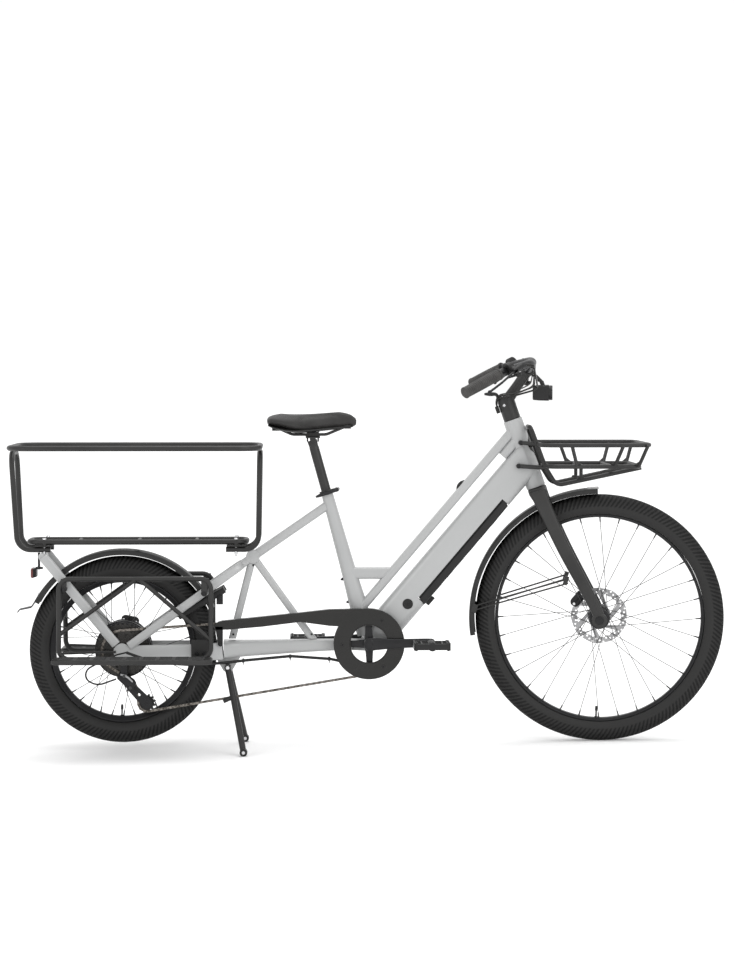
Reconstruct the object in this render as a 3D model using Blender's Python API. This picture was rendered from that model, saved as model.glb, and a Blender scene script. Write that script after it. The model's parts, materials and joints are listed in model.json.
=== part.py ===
"""Cargo bicycle: an electric long-tail bicycle with a rear rack and safety rail, side footboards,
a front carrier and a double-leg centre stand. Sizes are in millimetres in the bicycle's own frame: x runs forward from
the front axle, y to the rider's left, z up from the line under both wheels. At the end the whole bicycle is
tipped onto its front tyre and its stand, with the origin under the middle of its outline."""

import math

import bmesh
import bpy
from mathutils import Matrix, Vector

MM = 0.001
GAP = 0.3  # air between pieces that touch

# Wheels
FRONT_RADIUS = 348.0
FRONT_TYRE_WIDTH = 56.0
FRONT_SEAT_RADIUS = 293.0
FRONT_RIM_DEPTH = 9.5
REAR_RADIUS = 262.0
REAR_TYRE_WIDTH = 59.0
REAR_SEAT_RADIUS = 204.0
REAR_RIM_DEPTH = 16.5
RIM_WIDTH = 30.0
WHEELBASE = 1336.0
FRONT_SPOKES = 32
REAR_SPOKES = 36
SPOKE = 1.1
WHEEL_SIDES = 36
ROTOR_RADIUS = 80.0
ROTOR_HALF_THICKNESS = 1.0
FRONT_ROTOR_Y = 41.0
REAR_ROTOR_Y = 56.0
AXLE_RADIUS = 6.0
MOTOR_RADIUS = 79.5
# Steering
HEAD_ANGLE = 70.5
FORK_RAKE = 46.0
CROWN_HEIGHT = 404.0  # along the steering axis, from the foot of the rake
HEAD_LENGTH = 200.0
HEAD_RADIUS = 27.0
STEERER_RADIUS = 14.3
STEERED = -6.0  # the bars stand turned to the rider's right
FORK_SPREAD = 62.0
FORK_HALF_THICKNESS = 11.0
COLUMN_LENGTH = 69.0
COLUMN_RADIUS = 24.0
BAR_RADIUS = 12.0
GRIP_RADIUS = 16.0
GRIP_LENGTH = 130.0
BAR_HALF_WIDTH = 310.0
# Frame
BB_BACK = 649.0
BB_HEIGHT = 280.0
BB_RADIUS = 22.0
BB_HALF_WIDTH = 36.5
SPINDLE_RADIUS = 12.0
TUBE_ANGLE = 49.6
DOWN_TUBE_TOP = 39.0  # above the line from the bottom bracket at the tube angle
DOWN_TUBE_DEPTH = 89.0
DOWN_TUBE_WIDTH = 66.0
SLOT = 26.0
TOP_TUBE_DEPTH = 25.0
TOP_TUBE_WIDTH = 40.0
BATTERY_START = 184.0
BATTERY_LENGTH = 364.0
BATTERY_SHOWN = 27.0
BATTERY_DEPTH = 74.0
CHANNEL_WALL = 5.0
SEAT_ANGLE = 74.4
SEAT_TUBE_LENGTH = 430.0
SEAT_TUBE_RADIUS = 16.5
POST_RADIUS = 13.6
POST_SHOWN = 150.0
POST_HIDDEN = 150.0
SADDLE_LENGTH = 260.0
JUNCTION = (-973.0, 521.0)
STRUT_HALF = 10.3
# Rear
STAY_SPREAD = 72.0
CHAINLINE = 44.0
RING_RADIUS = 85.0
SPROCKET_RADIUS = 57.0
CHAIN_HALF_HEIGHT = 4.0
CHAIN_HALF_WIDTH = 3.5
GUIDE_RADIUS = 15.0
TENSION_RADIUS = 24.0
GUARD_RADIUS = 99.0
GUARD_OPENING = 52.0
GUARD_WALL = 2.5
CRANK_LENGTH = 170.0
CRANK_ANGLE = 1.5
PEDAL_Y = 145.0
PEDAL_LENGTH = 100.0
PEDAL_WIDTH = 96.0
# Carriers
RAIL_LENGTH = 701.0
RAIL_WIDTH = 375.0
RAIL_BACK = -1646.0
RAIL_HEIGHT = 829.0
RAIL_TUBE = 7.5
DECK_HEIGHT = 566.0
DECK_WIDTH = 132.0
FOOT_HEIGHT = 545.0
SIDE_TUBE = 7.0
SIDE_TOP = 466.0
BOARD_HEIGHT = 246.0
BOARD_WIDTH = 95.0
BOARD_INNER = 118.0
CARRIER_TOP = 837.0
CARRIER_FLOOR = 777.0
CARRIER_TUBE = 6.2
CARRIER_TOP_WIDTH = 366.0
CARRIER_FLOOR_WIDTH = 288.0
# Mudguards, lock, stand
FRONT_GUARD_RADIUS = 365.0
REAR_GUARD_RADIUS = 281.0
GUARD_SHEET = 3.0
LOCK_ANGLE = 30.8
STAND_PIVOT = (-1043.6, 213.4)
STAND_FOOT = (-998.0, -9.5)
STAND_FOOT_RADIUS = 10.6
STAND_SPREAD = 145.0


# ---------------------------------------------------------------- places
def at(x, z, y=0.0):
    return Vector((x, y, z))


def turn(angle):
    """Unit vector at an angle, in degrees, above the forward direction."""
    return Vector((math.cos(math.radians(angle)), 0.0, math.sin(math.radians(angle))))


LEFT = Vector((0.0, 1.0, 0.0))
FORWARD = Vector((1.0, 0.0, 0.0))
UP = Vector((0.0, 0.0, 1.0))
FRONT_AXLE = at(0.0, FRONT_RADIUS)
REAR_AXLE = at(-WHEELBASE, REAR_RADIUS)
BOTTOM_BRACKET = at(-BB_BACK, BB_HEIGHT)
STEER_UP = turn(180.0 - HEAD_ANGLE)
STEER_AHEAD = turn(90.0 - HEAD_ANGLE)
HEAD_LOW = CROWN_HEIGHT + 2.3
HEAD_TOP = HEAD_LOW + HEAD_LENGTH
COLUMN_LOW = HEAD_TOP + 0.6
COLUMN_TOP = COLUMN_LOW + COLUMN_LENGTH
SEAT_UP = turn(180.0 - SEAT_ANGLE)
SEAT_AHEAD = turn(90.0 - SEAT_ANGLE)
TUBE_ALONG = turn(TUBE_ANGLE)
TUBE_ABOVE = turn(TUBE_ANGLE + 90.0)
DOWN_TUBE_LOW = DOWN_TUBE_TOP - DOWN_TUBE_DEPTH
TOP_TUBE_LOW = DOWN_TUBE_TOP + SLOT
JUNCTION_POINT = at(*JUNCTION)


def steered(along, ahead=0.0, left=0.0):
    """Point by its distance along the steering axis, and ahead and to the left of it."""
    return FRONT_AXLE - FORK_RAKE * STEER_AHEAD + along * STEER_UP + ahead * STEER_AHEAD + left * LEFT


def seat_point(along, ahead=0.0, left=0.0):
    """Point by its distance up the seat tube's line from the bottom bracket."""
    return BOTTOM_BRACKET + along * SEAT_UP + ahead * SEAT_AHEAD + left * LEFT


def tube_point(along, above, left=0.0):
    """Point by its distance along and above the line of the down tube and the top tube."""
    return BOTTOM_BRACKET + along * TUBE_ALONG + above * TUBE_ABOVE + left * LEFT


def reach_to_head(above):
    """How far along the tubes' line the steering axis is met, at a height above that line."""
    start = tube_point(0.0, above) - steered(0.0)
    return -start.dot(STEER_AHEAD) / TUBE_ALONG.dot(STEER_AHEAD)


def round_rear_axle(radius, angle, left=0.0):
    return REAR_AXLE + radius * turn(angle) + left * LEFT


def mirrored(points):
    return [Vector((p.x, -p.y, p.z)) for p in points]


# ---------------------------------------------------------------- shapes
def skin(sections, closed=False):
    """Closed mesh through sections of equal count, capped at its ends or joined back to its start."""
    count = len(sections[0])
    spans = len(sections) if closed else len(sections) - 1
    faces = []
    for i in range(spans):
        low, high = i * count, (i + 1) % len(sections) * count
        for j in range(count):
            k = (j + 1) % count
            faces.append((low + j, low + k, high + k, high + j))
    if not closed:
        faces.append(tuple(range(count)))
        faces.append(tuple(range(spans * count, (spans + 1) * count)))
    mesh = bpy.data.meshes.new("shape")
    mesh.from_pydata([p * MM for section in sections for p in section], [], faces)
    work = bmesh.new()
    work.from_mesh(mesh)
    bmesh.ops.recalc_face_normals(work, faces=work.faces)
    if work.calc_volume(signed=True) < 0:
        bmesh.ops.reverse_faces(work, faces=work.faces)
    work.to_mesh(mesh)
    work.free()
    return mesh


def bend(points, radius, steps=3, closed=False):
    """The path with each corner replaced by an arc."""
    path = [] if closed else [points[0]]
    count = len(points)
    for i in range(count) if closed else range(1, count - 1):
        here = points[i]
        into, out = here - points[i - 1], points[(i + 1) % count] - here
        room = 0.49 * min(into.length, out.length)
        into.normalize()
        out.normalize()
        angle = into.angle(out)
        if angle < 0.02:
            path.append(here)
            continue
        reach = min(radius * math.tan(angle / 2), room)
        real = reach / math.tan(angle / 2)
        centre = here + (out - into).normalized() * (real / math.cos(angle / 2))
        spoke = here - reach * into - centre
        axis = into.cross(out)
        for step in range(steps + 1):
            path.append(centre + Matrix.Rotation(angle * step / steps, 3, axis) @ spoke)
    if not closed:
        path.append(points[-1])
    return path


def directions(path, closed=False):
    last = len(path) - 1
    found = []
    for i, here in enumerate(path):
        before = path[i - 1] if i or closed else here
        after = path[(i + 1) % len(path)] if i < last or closed else here
        found.append((after - before).normalized())
    return found


def tube(points, radius, sides=6, corner=0.0, steps=3, closed=False):
    """Round tube along a path, with its corners bent to a radius."""
    path = bend(points, corner, steps, closed) if corner else points
    way = directions(path, closed)
    across = way[0].cross(LEFT if abs(way[0].y) < 0.8 else UP).normalized()
    sections = []
    for i, here in enumerate(path):
        if i:
            across = way[i - 1].rotation_difference(way[i]) @ across
        other = way[i].cross(across)
        sections.append([
            here + radius * (math.cos(a) * across + math.sin(a) * other)
            for a in (math.tau * (j + 0.5) / sides for j in range(sides))
        ])
    return skin(sections, closed)


def bar(stations, sides=8, square=2.6):
    """Bar through stations of centre, half height, half width and, at a mitred end, its height direction."""
    path = [station[0] for station in stations]
    sections = []
    for station, way in zip(stations, directions(path)):
        centre, height, width = station[:3]
        level = Vector((way.x, 0.0, way.z)).normalized()
        normal = Vector((-level.z, 0.0, level.x))
        lean = station[3] if len(station) > 3 else normal
        rise = lean * (height / abs(lean.dot(normal)))
        section = []
        for j in range(sides):
            a = math.tau * (j + 0.5) / sides
            c, s = math.cos(a), math.sin(a)
            section.append(
                centre
                + LEFT * width * math.copysign(abs(c) ** (2 / square), c)
                + rise * math.copysign(abs(s) ** (2 / square), s)
            )
        sections.append(section)
    return skin(sections)


def about(axis):
    """Two directions across an axis."""
    first = axis.cross(FORWARD if abs(axis.x) < 0.9 else UP).normalized()
    return first, axis.cross(first).normalized()


def around(radius, sides=16):
    """Radius of a polygon's corners when its flats touch a circle."""
    return radius / math.cos(math.pi / sides)


def drum(profile, centre, axis=LEFT, sides=16):
    """Solid of revolution through circles of (distance along the axis, radius)."""
    one, two = about(axis)
    angles = [math.tau * (j + 0.5) / sides for j in range(sides)]
    return skin([
        [centre + along * axis + radius * (math.cos(a) * one + math.sin(a) * two) for a in angles]
        for along, radius in profile
    ])


def ring(profile, centre, axis=LEFT, sides=20):
    """Turned ring whose cross-section is a closed outline of (distance along the axis, radius)."""
    one, two = about(axis)
    return skin([
        [
            centre + along * axis + radius * (math.cos(a) * one + math.sin(a) * two)
            for along, radius in profile
        ]
        for a in (math.tau * j / sides for j in range(sides))
    ], closed=True)


def slab(outline, low, high):
    """Outline of side-view points, given its thickness across the bicycle."""
    return skin([[p + y * LEFT for p in outline] for y in (low, high)])


def strap(path, height, width, closed=False):
    """Flat bar of a half height and half width that follows a side-view path."""
    sections = []
    for here, way in zip(path, directions(path, closed)):
        above = Vector((-way.z, 0.0, way.x)).normalized() * height
        sections.append([
            here + LEFT * width + above, here - LEFT * width + above,
            here - LEFT * width - above, here + LEFT * width - above,
        ])
    return skin(sections, closed)


def channel(centre, radius, start, end, steps, half_width, lip, sheet):
    """Curved mudguard: a flat crown with a lip down each side, swept round a wheel's axle."""
    outline = [
        (half_width, -lip), (half_width, 0.0), (-half_width, 0.0), (-half_width, -lip),
        (sheet - half_width, -lip), (sheet - half_width, -sheet),
        (half_width - sheet, -sheet), (half_width - sheet, -lip),
    ]
    return skin([
        [
            centre + y * LEFT + (radius + rise) * turn(start + (end - start) * i / steps)
            for y, rise in outline
        ]
        for i in range(steps + 1)
    ])


def block(centre, length, width, height, along=FORWARD):
    """Box with its length along a side-view direction and its width across the bicycle."""
    above = Vector((-along.z, 0.0, along.x))
    return skin([
        [
            centre + end * along + side * LEFT + rise * above
            for side, rise in (
                (-width / 2, -height / 2), (width / 2, -height / 2),
                (width / 2, height / 2), (-width / 2, height / 2),
            )
        ]
        for end in (-length / 2, length / 2)
    ])


def arc(centre, radius, start, end, steps):
    """Side-view points round an arc, angles in degrees."""
    return [centre + radius * turn(start + (end - start) * i / steps) for i in range(steps + 1)]


# ---------------------------------------------------------------- pieces
def clear_scene():
    for thing in list(bpy.data.objects):
        bpy.data.objects.remove(thing)


def finish(name, colour, roughness, metallic=0.0):
    material = bpy.data.materials.new(name)
    material.use_nodes = True
    shader = material.node_tree.nodes["Principled BSDF"]
    shader.inputs["Base Color"].default_value = (*colour, 1.0)
    shader.inputs["Roughness"].default_value = roughness
    shader.inputs["Metallic"].default_value = metallic
    material.diffuse_color = (*colour, 1.0)
    return material


def holder(name, point, parent=None, rotation=None):
    """Empty that stands for a frame or for the axis that pieces turn on."""
    empty = bpy.data.objects.new(name, None)
    bpy.context.scene.collection.objects.link(empty)
    empty["point"] = point
    start = Vector(parent["point"]) if parent else Vector()
    empty.parent = parent
    empty.location = (point - start) * MM
    if rotation:
        empty.rotation_euler = rotation.to_euler()
    return empty


def put(name, mesh, pivot, parent):
    mesh.transform(Matrix.Translation(-pivot * MM))
    made = bpy.data.objects.new(name, mesh)
    made.parent = parent
    made.location = (pivot - Vector(parent["point"])) * MM
    return made


def piece(name, material, shapes, cuts=(), pivot=None, parent=None, sharp=35.0):
    """One named part: its shapes joined, its cuts taken out, and its origin on its pivot."""
    parent = parent or bicycle
    pivot = Vector(parent["point"]) if pivot is None else pivot
    made = put(name, shapes[0], pivot, parent)
    bpy.context.scene.collection.objects.link(made)
    made.data.materials.append(material)
    made.data.shade_smooth()
    made.data.set_sharp_from_angle(angle=math.radians(sharp))
    for operation, others in (("UNION", shapes[1:]), ("DIFFERENCE", cuts)):
        if not others:
            continue
        group = bpy.data.collections.new(f"{name} {operation.lower()}")
        bpy.context.scene.collection.children.link(group)
        for other in others:
            helper = put(f"{name} helper", other, pivot, parent)
            helper.hide_render = True
            helper.display_type = "WIRE"
            helper.data.shade_smooth()
            helper.data.set_sharp_from_angle(angle=math.radians(sharp))
            group.objects.link(helper)
        modifier = made.modifiers.new(operation.lower(), "BOOLEAN")
        modifier.operand_type = "COLLECTION"
        modifier.collection = group
        modifier.operation = operation
        modifier.solver = "EXACT"
    return made


clear_scene()
WHITE = finish("frame white", (0.80, 0.81, 0.80), 0.35)
BLACK = finish("black powder coat", (0.018, 0.018, 0.019), 0.5)
RUBBER = finish("tyre rubber", (0.016, 0.016, 0.016), 0.8)
PLASTIC = finish("black plastic", (0.022, 0.022, 0.023), 0.55)
STEEL = finish("steel", (0.55, 0.55, 0.56), 0.3, 1.0)
DARK = finish("dark alloy", (0.05, 0.05, 0.052), 0.4, 0.8)
VINYL = finish("saddle cover", (0.02, 0.02, 0.02), 0.6)
LENS = finish("red lens", (0.45, 0.02, 0.02), 0.2)

# The bicycle stands on its front tyre and on its stand's feet: the tangent under both is the ground.
TO_TYRE = FRONT_AXLE - at(*STAND_FOOT)
PITCH = math.atan2(TO_TYRE.z, TO_TYRE.x) - math.asin((FRONT_RADIUS - STAND_FOOT_RADIUS) / TO_TYRE.length)
TIP = Matrix.Rotation(PITCH, 3, "Y")
FRONT_END = (TIP @ FRONT_AXLE).x + FRONT_RADIUS
BACK_END = (TIP @ at(RAIL_BACK, RAIL_HEIGHT)).x - RAIL_TUBE / 2
bicycle = holder("bicycle", Vector(), rotation=TIP)
bicycle.location = Vector((
    -(FRONT_END + BACK_END) / 2, 0.0, FRONT_RADIUS - (TIP @ FRONT_AXLE).z
)) * MM
steering = holder(
    "steering axis", steered(HEAD_TOP), bicycle, Matrix.Rotation(math.radians(STEERED), 3, STEER_UP)
)


# ---------------------------------------------------------------- wheels
def tyre(name, axle, outer, seat, width, parent):
    depth = outer - seat
    half = [
        (0.45, 0.0), (1.0, 0.33), (0.74, 0.82),
    ]
    profile = [(width / 2 * w, seat + depth * d) for w, d in half] + [(0.0, outer)]
    profile += [(-w, r) for w, r in reversed(profile[:-1])]
    return piece(name, RUBBER, [ring(profile, axle, sides=WHEEL_SIDES)], pivot=axle, parent=parent)


def rim(name, axle, seat, depth, parent):
    half = RIM_WIDTH / 2
    outer, inner = seat - GAP, seat - depth
    edge = outer - 0.35 * (outer - inner)
    profile = [(half * 0.84, outer), (half, edge), (half * 0.5, inner)]
    profile += [(-w, r) for w, r in reversed(profile)]
    return piece(name, DARK, [ring(profile, axle, sides=WHEEL_SIDES)], pivot=axle, parent=parent)


def spokes(axle, count, flange, rim_radius, flange_y, tip_y, lace):
    """Crossed spokes from the two flanges, each flange's own leading outside and trailing inside."""
    made = []
    rim_radius = rim_radius * math.cos(math.pi / WHEEL_SIDES) - GAP
    for i in range(count):
        side = 1 if i % 2 else -1
        lead = 1 if i // 2 % 2 else -1
        angle = 360.0 * i / count
        start = axle + (flange - 2) * turn(angle + lead * lace) + (
            side * flange_y[side > 0] + side * lead * 1.6
        ) * LEFT
        end = axle + rim_radius * turn(angle) + side * tip_y * LEFT
        made.append(tube([start, end], SPOKE, sides=3))
    return made


def rotor(name, axle, y, parent, bore):
    thin = ROTOR_HALF_THICKNESS
    bore = around(bore + GAP, 12)
    outer = [
        (-thin, ROTOR_RADIUS - 16), (thin, ROTOR_RADIUS - 16), (thin, ROTOR_RADIUS), (-thin, ROTOR_RADIUS),
    ]
    inner = [(-thin, bore), (thin, bore), (thin, 30.0), (-thin, 30.0)]
    centre = axle + y * LEFT
    arms = []
    for i in range(5):
        angle = 72.0 * i
        start, end = centre + 27 * turn(angle - 20), centre + (ROTOR_RADIUS - 13) * turn(angle + 20)
        arms.append(
            block((start + end) / 2, (end - start).length, 2 * thin - 0.2, 8.0, (end - start).normalized())
        )
    shapes = [ring(outer, centre, sides=20), ring(inner, centre, sides=12), *arms]
    return piece(name, STEEL, shapes, pivot=axle, parent=parent)


tyre("front_tyre", FRONT_AXLE, FRONT_RADIUS, FRONT_SEAT_RADIUS, FRONT_TYRE_WIDTH, steering)
rim("front_rim", FRONT_AXLE, FRONT_SEAT_RADIUS, FRONT_RIM_DEPTH, steering)
HUB_END = FORK_SPREAD - FORK_HALF_THICKNESS - 1.5
FRONT_FLANGE = 29.0
front_hub_body = ring([
    (-HUB_END, AXLE_RADIUS + 0.6), (HUB_END, AXLE_RADIUS + 0.6), (HUB_END, 14), (FRONT_ROTOR_Y - 4, 14),
    (32, FRONT_FLANGE), (28, FRONT_FLANGE), (24, 15), (-24, 15), (-28, FRONT_FLANGE), (-32, FRONT_FLANGE),
    (-HUB_END, 12),
], FRONT_AXLE, sides=14)
piece("front_hub", DARK, [
    front_hub_body,
    *spokes(
        FRONT_AXLE, FRONT_SPOKES, FRONT_FLANGE, FRONT_SEAT_RADIUS - FRONT_RIM_DEPTH, (30, 30), 4.0, 62.0,
    ),
], pivot=FRONT_AXLE, parent=steering)
rotor("front_rotor", FRONT_AXLE, FRONT_ROTOR_Y, steering, 14)

tyre("rear_tyre", REAR_AXLE, REAR_RADIUS, REAR_SEAT_RADIUS, REAR_TYRE_WIDTH, bicycle)
rim("rear_rim", REAR_AXLE, REAR_SEAT_RADIUS, REAR_RIM_DEPTH, bicycle)
MOTOR_RIGHT, MOTOR_LEFT = -20.0, 40.0
piece("rear_hub", DARK, [
    ring([
        (-26, AXLE_RADIUS + 0.6), (62, AXLE_RADIUS + 0.6), (62, 16), (REAR_ROTOR_Y - 4, 16), (50, 40),
        (MOTOR_LEFT, MOTOR_RADIUS), (MOTOR_RIGHT, MOTOR_RADIUS), (-26, 40),
    ], REAR_AXLE, sides=24),
    *spokes(REAR_AXLE, REAR_SPOKES, MOTOR_RADIUS, REAR_SEAT_RADIUS - REAR_RIM_DEPTH, (14, 33), 4.0, 14.0),
], pivot=REAR_AXLE)
rotor("rear_rotor", REAR_AXLE, REAR_ROTOR_Y, bicycle, 16)

CHAIN_INNER_Y = CHAINLINE - CHAIN_HALF_WIDTH - 0.5
CHAIN_OUTER_Y = CHAINLINE + CHAIN_HALF_WIDTH + 0.5
CHAIN_SEAT = CHAIN_HALF_HEIGHT + 1.3
piece("cassette", DARK, [
    ring([
        (-27, AXLE_RADIUS + 0.6), (-27, SPROCKET_RADIUS + 20), (-31, SPROCKET_RADIUS + 18),
        (-CHAIN_INNER_Y, SPROCKET_RADIUS + 4), (-CHAIN_INNER_Y, SPROCKET_RADIUS - CHAIN_SEAT),
        (-CHAIN_OUTER_Y, SPROCKET_RADIUS - CHAIN_SEAT), (-61, 26),
        (-61, AXLE_RADIUS + 0.6),
    ], REAR_AXLE, sides=24),
], pivot=REAR_AXLE)

# ---------------------------------------------------------------- frame
DOWN_TUBE_MIDDLE = DOWN_TUBE_TOP - DOWN_TUBE_DEPTH / 2
TOP_TUBE_MIDDLE = TOP_TUBE_LOW + TOP_TUBE_DEPTH / 2
WEB_START = reach_to_head(DOWN_TUBE_TOP) - 62
BATTERY_EDGE = DOWN_TUBE_LOW + BATTERY_SHOWN
BATTERY_END = BATTERY_START + BATTERY_LENGTH
BATTERY_MIDDLE = BATTERY_START + BATTERY_LENGTH / 2


def head_cylinder(extra):
    corner = around(HEAD_RADIUS + extra)
    return drum([(HEAD_LOW - 30, corner), (HEAD_TOP + 30, corner)], steered(0), STEER_UP)


def down_tube_body(extra=0.0):
    half = DOWN_TUBE_DEPTH / 2 + extra
    width = DOWN_TUBE_WIDTH / 2 + extra
    return bar([
        (tube_point(4, DOWN_TUBE_MIDDLE), half - 14, width - 8),
        (tube_point(75, DOWN_TUBE_MIDDLE), half, width),
        (tube_point(reach_to_head(DOWN_TUBE_MIDDLE), DOWN_TUBE_MIDDLE), half, width, STEER_UP),
    ], sides=12, square=4.0)


def top_tube_body(extra=0.0):
    return bar([
        (tube_point(50, TOP_TUBE_MIDDLE), TOP_TUBE_DEPTH / 2 + extra, TOP_TUBE_WIDTH / 2 + extra),
        (
            tube_point(reach_to_head(TOP_TUBE_MIDDLE), TOP_TUBE_MIDDLE),
            TOP_TUBE_DEPTH / 2 + extra, TOP_TUBE_WIDTH / 2 + extra, STEER_UP,
        ),
    ], square=3.0)


def seat_tube_body(extra=0.0):
    return bar([
        (seat_point(24), 26 + extra, 24 + extra),
        (seat_point(110), 25 + extra, 22 + extra),
        (seat_point(228), 20.5 + extra, 18 + extra),
        (seat_point(SEAT_TUBE_LENGTH), SEAT_TUBE_RADIUS + extra, SEAT_TUBE_RADIUS + extra),
    ], sides=12, square=2.0)


def bracket_shell(extra=0.0):
    reach = BB_HALF_WIDTH + extra
    return drum([(-reach, BB_RADIUS + extra), (reach, BB_RADIUS + extra)], BOTTOM_BRACKET)


piece("head_tube", WHITE, [ring([
    (HEAD_LOW, STEERER_RADIUS + 0.7), (HEAD_TOP, STEERER_RADIUS + 0.7),
    (HEAD_TOP, HEAD_RADIUS), (HEAD_LOW, HEAD_RADIUS),
], steered(0), STEER_UP)])

WEB_MIDDLE = DOWN_TUBE_TOP + SLOT / 2
piece("down_tube", WHITE, [
    down_tube_body(),
    bar([
        (tube_point(WEB_START, WEB_MIDDLE), SLOT / 2 + 2, 17),
        (tube_point(reach_to_head(WEB_MIDDLE), WEB_MIDDLE), SLOT / 2 + 2, 24, STEER_UP),
    ], square=3.0),
], [
    head_cylinder(GAP), bracket_shell(GAP), top_tube_body(GAP),
    block(
        tube_point(BATTERY_MIDDLE, BATTERY_EDGE + 20 - 50),
        BATTERY_LENGTH, DOWN_TUBE_WIDTH - 2 * CHANNEL_WALL, 100, TUBE_ALONG,
    ),
    block(
        tube_point(BATTERY_MIDDLE, BATTERY_EDGE - 30), BATTERY_LENGTH, DOWN_TUBE_WIDTH + 20, 60, TUBE_ALONG,
    ),
    block(
        tube_point(BATTERY_MIDDLE + 4, BATTERY_EDGE + 22), BATTERY_LENGTH - 8,
        DOWN_TUBE_WIDTH - 2 * CHANNEL_WALL, 50, TUBE_ALONG,
    ),
])

BRIDGE_Z = 474.0
BRIDGE_HALF = 16.5
piece("top_tube", WHITE, [top_tube_body()], [head_cylinder(GAP), seat_tube_body(GAP)])
bridge_start = seat_point((BRIDGE_Z - BB_HEIGHT) / SEAT_UP.z)
bridge_end = tube_point(
    (BRIDGE_Z - BB_HEIGHT) / TUBE_ALONG.z, 0,
) - FORWARD * (TOP_TUBE_MIDDLE / TUBE_ALONG.z)
piece("seat_tube", WHITE, [
    seat_tube_body(),
    bar([(bridge_start, BRIDGE_HALF, 15), (bridge_end, BRIDGE_HALF, 15)], square=3.0),
], [
    down_tube_body(GAP), top_tube_body(GAP), bracket_shell(GAP),
    drum([(SEAT_TUBE_LENGTH - 250, POST_RADIUS + GAP), (SEAT_TUBE_LENGTH + 20, POST_RADIUS + GAP)],
         BOTTOM_BRACKET, SEAT_UP),
])

BEAM_END = -1052.0
STAND_POINT = at(*STAND_PIVOT)
stand_plates = [
    slab([at(-1080, 245), at(-1006, 245), at(-1028, 203), at(-1058, 203)], y - 3, y + 3) for y in (-20, 20)
]
piece("rear_beam", WHITE, [
    bar([
        (at(-BB_BACK, 272), 16.5, 20), (at(-750, 272.7), 16.3, 20),
        (at(-980, 264.5), 22.5, 27), (at(BEAM_END, 261.5), 25.5, 52),
    ], square=4.0),
    bracket_shell(),
    *stand_plates,
], [
    drum([(-60, SPINDLE_RADIUS + 0.5), (60, SPINDLE_RADIUS + 0.5)], BOTTOM_BRACKET),
    drum([(-60, 9.3), (60, 9.3)], STAND_POINT),
])

DROPOUT_Y = STAY_SPREAD - 1.5
dropout_ends = []


def chainstay(side, extra=0.0):
    return bar([
        (at(BEAM_END - GAP, 261.5, side * 45), 25.2 + extra, 7 + extra),
        (at(-1110, 258.5, side * 51), 23 + extra, 7 + extra),
        (REAR_AXLE + side * DROPOUT_Y * LEFT + 14 * FORWARD, 17 + extra, 3.8 + extra),
    ], square=4.0)


for side in (-1, 1):
    dropout_ends += [
        chainstay(side),
        drum([(side * DROPOUT_Y - 3.8, 23), (side * DROPOUT_Y + 3.8, 23)], REAR_AXLE),
        drum([(side * (DROPOUT_Y + 8) - 8, 12), (side * (DROPOUT_Y + 8) + 8, 12)], REAR_AXLE, sides=12),
    ]
piece("chainstays", WHITE, [
    drum([(-DROPOUT_Y, AXLE_RADIUS), (DROPOUT_Y, AXLE_RADIUS)], REAR_AXLE, sides=16), *dropout_ends,
])

STAY_TOP = JUNCTION_POINT
STRUT_FOOT_Z = 290.0
piece("upper_stay", WHITE, [
    bar([(seat_point(404), 12.5, 12), (STAY_TOP, 12.5, 12)], square=2.4),
    drum([(-15, 19), (15, 19)], STAY_TOP),
    bar([(STAY_TOP, STRUT_HALF, 10), (at(-1031, STRUT_FOOT_Z + 1), STRUT_HALF, 10, FORWARD)], square=2.4),
], [seat_tube_body(GAP)])
piece("front_strut", WHITE, [
    bar([(STAY_TOP, STRUT_HALF, 10), (at(-807, STRUT_FOOT_Z + 0.8), STRUT_HALF, 10, FORWARD)], square=2.4),
], [
    drum([(-30, 19 + GAP), (30, 19 + GAP)], STAY_TOP),
    bar([(STAY_TOP - FORWARD * 40, 13, 14), (STAY_TOP + at(60, 42), 13, 14)], square=2.4),
    bar([(STAY_TOP, STRUT_HALF + GAP, 12), (at(-1031, STRUT_FOOT_Z), STRUT_HALF + GAP, 12)]),
])


def seat_stay(side):
    return bar([
        (STAY_TOP + at(-4, -3, side * 6), 11, 10),
        (STAY_TOP + at(-27, -19, side * 8), 11, 11),
        (STAY_TOP + at(-66, -46, side * 46), 11.5, 9),
        (round_rear_axle(25, 37, side * STAY_SPREAD), 12, 8),
    ], square=2.6)


def rack_strut(side):
    return bar([
        (round_rear_axle(25, 128, side * STAY_SPREAD), 13, 8),
        (at(-1553, 526, side * (DECK_WIDTH / 2)), 13.5, 8),
    ], square=2.6)


piece("seat_stays", WHITE, [seat_stay(-1), seat_stay(1)], [
    chainstay(-1, GAP), chainstay(1, GAP),
    drum([(-30, 19 + GAP), (30, 19 + GAP)], STAY_TOP),
    bar([(STAY_TOP, STRUT_HALF + GAP, 11), (at(-1031, STRUT_FOOT_Z), STRUT_HALF + GAP, 11)]),
])
piece("rack_struts", WHITE, [
    rack_strut(-1), rack_strut(1), tube([at(-1557, 526, -70), at(-1557, 526, 70)], 9.5, sides=10),
])

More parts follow.
